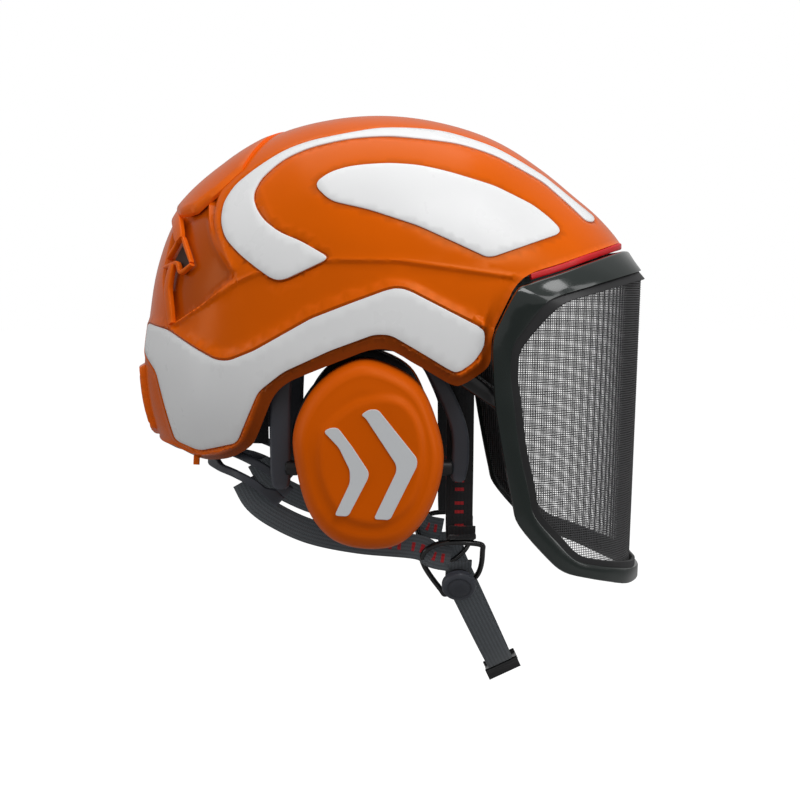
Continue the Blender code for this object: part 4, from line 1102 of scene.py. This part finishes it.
def make_straps(word, side):
    flip = np.array([side, 1, 1])

    def routed(route):
        return [np.array(p, float) * flip for p in route]

    path = routed(FRONT_ROUTE) + [ring_point(side, -4.5, 17.5) + (side * 1.6, 0, 2.6)]
    path += [ring_point(side, -4.5, *tail) for tail in ((18.6, -0.6), (18.0, -3.6), (23.0, -6.5))]
    bar(f"front_webbing_{word}", curve(path, 8), WEBBING, (0, 1, 0), "black_webbing_marked", "helmet",
        (f"front_strap_{word}",))
    path = routed(REAR_ROUTE) + [ring_point(side, 12.0, 6.0, -0.3), ring_point(side, 2.0, 4.0, 0.4)]
    path = np.array(curve(path, 8))
    ways = [np.cross(way, (1, 0, 0)) for way in np.gradient(path, axis=0)]
    bar(f"rear_webbing_{word}", path, rounded_box(14.5, 1.5, 0.65, 2), ways, "grey_webbing_marked", "helmet",
        (f"rear_strap_{word}",))
    bar(f"nape_webbing_{word}", curve(routed(NAPE_ROUTE), 8), WEBBING, (0, 1, 0.2), "black_webbing", "helmet",
        (f"nape_strap_{word}",))
    foot = np.array(CHIN_END) * flip
    over = [foot, foot + (side * 1.2, 2.0, 4.5)]
    over += [ring_point(side, *BUTTON_AT, 1.3), ring_point(side, -3, 2.5, 0.9)]
    bar(f"chin_lap_{word}", curve(over, 6), WEBBING, CHIN_WAY, "grey_webbing_marked", "helmet")


def make_chin_strap():
    foot = np.array([0, *CHIN_END[1:]])
    shares = np.sin(np.linspace(-math.pi / 2, math.pi / 2, 97))
    path = [foot + (CHIN_END[0] * s, 0, 0) + CHIN_DOWN * CHIN_SAG * (1 - abs(s) ** 2.1) for s in shares]
    bar("chin_webbing", path, WEBBING, CHIN_WAY, "grey_webbing", "helmet", ("chin_strap",))
    low = foot + CHIN_DOWN * (CHIN_SAG + 1.6)
    spots = [low + (x, 0, 0) for x in (-13, -12.6, -4, 4, 12.6, 13)]
    outlines = [rounded_box(21, 3.4, 1.0)] * 6
    outlines[0] = outlines[-1] = rounded_box(20, 2.6, 1.0)
    bar("chin_buckle", spots, outlines, CHIN_WAY, "black_gloss", "helmet", ("chin_slider",))
    for k, x in enumerate((-11.2, 11.2)):
        path = [low + (x, 0, 0) + CHIN_WAY * reach for reach in (-10.5, 0, 10.5)]
        bar(f"chin_buckle_bar_{k}", path, rounded_box(3.2, 7.0, 1.4), (1, 0, 0), "black_gloss", "helmet")


# ---- soft goods

CLOTH_FRAMES, VOXEL = 20, 0.0026


def inflate(pads):
    """Swells copies of the soft CAD solids with cloth under pressure, all in one run."""
    scene = bpy.context.scene
    made = []
    for name, node, look, body, cap, fill in pads:
        obj = bpy.data.objects.new(name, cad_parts[node].data.copy())
        scene.collection.objects.link(obj)
        remesh = obj.modifiers.new("remesh", "REMESH")
        remesh.mode = "VOXEL"
        remesh.voxel_size = VOXEL
        bake(obj)
        relax(obj, 3, 0.0007)
        puff = obj.modifiers.new("cloth", "CLOTH")
        puff.settings.use_pressure = True
        puff.settings.uniform_pressure_force = 4.0
        puff.settings.effector_weights.gravity = 0.0
        puff.settings.tension_stiffness = 40.0
        puff.settings.compression_stiffness = 40.0
        puff.point_cache.frame_start, puff.point_cache.frame_end = 1, CLOTH_FRAMES
        made.append((obj, node, look, body, cap * MM, fill))
    for step in range(1, CLOTH_FRAMES + 1):
        scene.frame_set(step)
    for obj, node, look, body, cap, fill in made:
        before = np.array([v.co for v in obj.data.vertices])
        bake(obj)
        moved = np.array([v.co for v in obj.data.vertices]) - before
        far = np.linalg.norm(moved, axis=1)
        moved *= (np.minimum(far, cap) / np.maximum(far, 1e-9))[:, None]
        for vert, place in zip(obj.data.vertices, before + moved):
            vert.co = place
        relax(obj, 1, 0.0)
        obj.modifiers.new("subdivision", "SUBSURF").levels = 1
        bake(obj)
        obj.data.shade_smooth()
        dress(obj, look, body, (node,))
    scene.frame_set(1)


def bake(obj):
    """Applies the object's modifiers to its mesh."""
    bpy.context.view_layer.update()
    graph = bpy.context.evaluated_depsgraph_get()
    mesh = bpy.data.meshes.new_from_object(obj.evaluated_get(graph))
    obj.modifiers.clear()
    obj.data = mesh


def relax(obj, rounds, shrink):
    """Smooths the mesh and draws it in along its normals."""
    bm = bmesh.new()
    bm.from_mesh(obj.data)
    for _ in range(rounds):
        bmesh.ops.smooth_vert(bm, verts=bm.verts, factor=0.4,
                              use_axis_x=True, use_axis_y=True, use_axis_z=True)
    for vert in bm.verts:
        vert.co -= vert.normal * shrink
    bm.to_mesh(obj.data)
    bm.free()


def make_soft_goods():
    pads = [(f"cushion_{word}", f"ear_cushion_{word}", "cushion_skin", f"cup_{word}", 1.6, 0.8)
            for word in SIDES]
    pads += [("brow_pad", "sweatband", "pad_cloth", "helmet", 1.2, 0.5),
             ("rear_pad", "nape_pad", "pad_cloth", "helmet", 1.2, 0.6),
             ("top_pad", "crown_pad", "pad_cloth", "helmet", 1.4, 0.6)]
    inflate(pads)


def finish_hardware():
    """Better materials for the CAD nodes that stay."""
    keep = {
        "black_plastic": ["ratchet_knob", "rack_right", "rack_left", "ear_bracket_right", "ear_bracket_left",
                          "hanger_front_right", "hanger_front_left", "hanger_rear_right", "hanger_rear_left"],
        "steel": ["visor_pivot_right", "visor_pivot_left", "ratchet_pinion"],
        "slate_plastic": ["ratchet_base", "ratchet_cover"],
        "foam": ["impact_liner", "ear_foam_right", "ear_foam_left"],
    }
    for look, nodes in keep.items():
        for node in nodes:
            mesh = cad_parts[node].data
            mesh.materials.clear()
            mesh.materials.append(LOOKS[look])


# ---- camera, light and floor

def aim(obj, place, target):
    obj.location = Vector(place) * MM
    obj.rotation_euler = (Vector(target) - Vector(place)).to_track_quat("-Z", "Y").to_euler()
    bpy.context.scene.collection.objects.link(obj)
    return obj


def soft_light(name, place, target, size, power):
    lamp = bpy.data.lights.new(name, "AREA")
    lamp.shape = "RECTANGLE"
    lamp.size, lamp.size_y = size
    lamp.energy = power
    return aim(bpy.data.objects.new(name, lamp), place, target)


def make_camera():
    camera = bpy.data.cameras.new("camera")
    camera.lens = CAMERA_LENS
    camera.sensor_width = 36.0
    camera.clip_start = 0.05
    bpy.context.scene.camera = aim(bpy.data.objects.new("camera", camera), CAMERA_AT, CAMERA_TO)


def make_studio():
    """White where the camera sees the world or floor, with dimmer light falling on the object."""
    world = bpy.data.worlds.new("studio")
    world.use_nodes = True
    tree = world.node_tree
    seen = node_of(tree, "LightPath").outputs["Is Camera Ray"]
    strength = plus(tree, times(tree, seen, 1.0 - AMBIENT), AMBIENT)
    settle(tree.nodes["Background"], Strength=strength, Color=(1.0, 1.0, 1.0, 1))
    bpy.context.scene.world = world
    bpy.context.scene.view_settings.view_transform = "Standard"

    mesh = bpy.data.meshes.new("floor")
    ends = ((-1, -1), (1, -1), (1, 1), (-1, 1))
    corners = [(x * FLOOR_SIZE, y * FLOOR_SIZE, FLOOR_Z * MM) for x, y in ends]
    mesh.from_pydata(corners, [], [(0, 1, 2, 3)])
    floor = bpy.data.objects.new("floor", mesh)
    bpy.context.scene.collection.objects.link(floor)
    made, tree, shader = shader_of("floor")
    shade = mix_colour(tree, noise(tree, place_in(tree), 3.0), (0.33, 0.33, 0.33), (0.37, 0.37, 0.37))
    seen = node_of(tree, "LightPath").outputs["Is Camera Ray"]
    settle(shader, Base_Color=shade, Roughness=0.9, Emission_Color=(1, 1, 1, 1),
           Emission_Strength=times(tree, seen, FLOOR_GLOW))
    mesh.materials.append(made)

    for name, light in LIGHTS.items():
        soft_light(name, *light)


def main():
    make_shell()
    make_hood_and_clip()
    make_seal()
    for word, side in SIDES.items():
        make_vent(word, side)
    make_visor_frame()
    make_visor_mesh()
    for word, side in SIDES.items():
        make_visor_arm(word, side)
    for word, side in SIDES.items():
        make_ear_cup(word, side)
        make_yoke(word, side)
        make_ring_and_button(word, side)
        make_straps(word, side)
    make_headband()
    make_chin_strap()
    make_soft_goods()
    finish_hardware()
    make_camera()
    make_studio()


main()
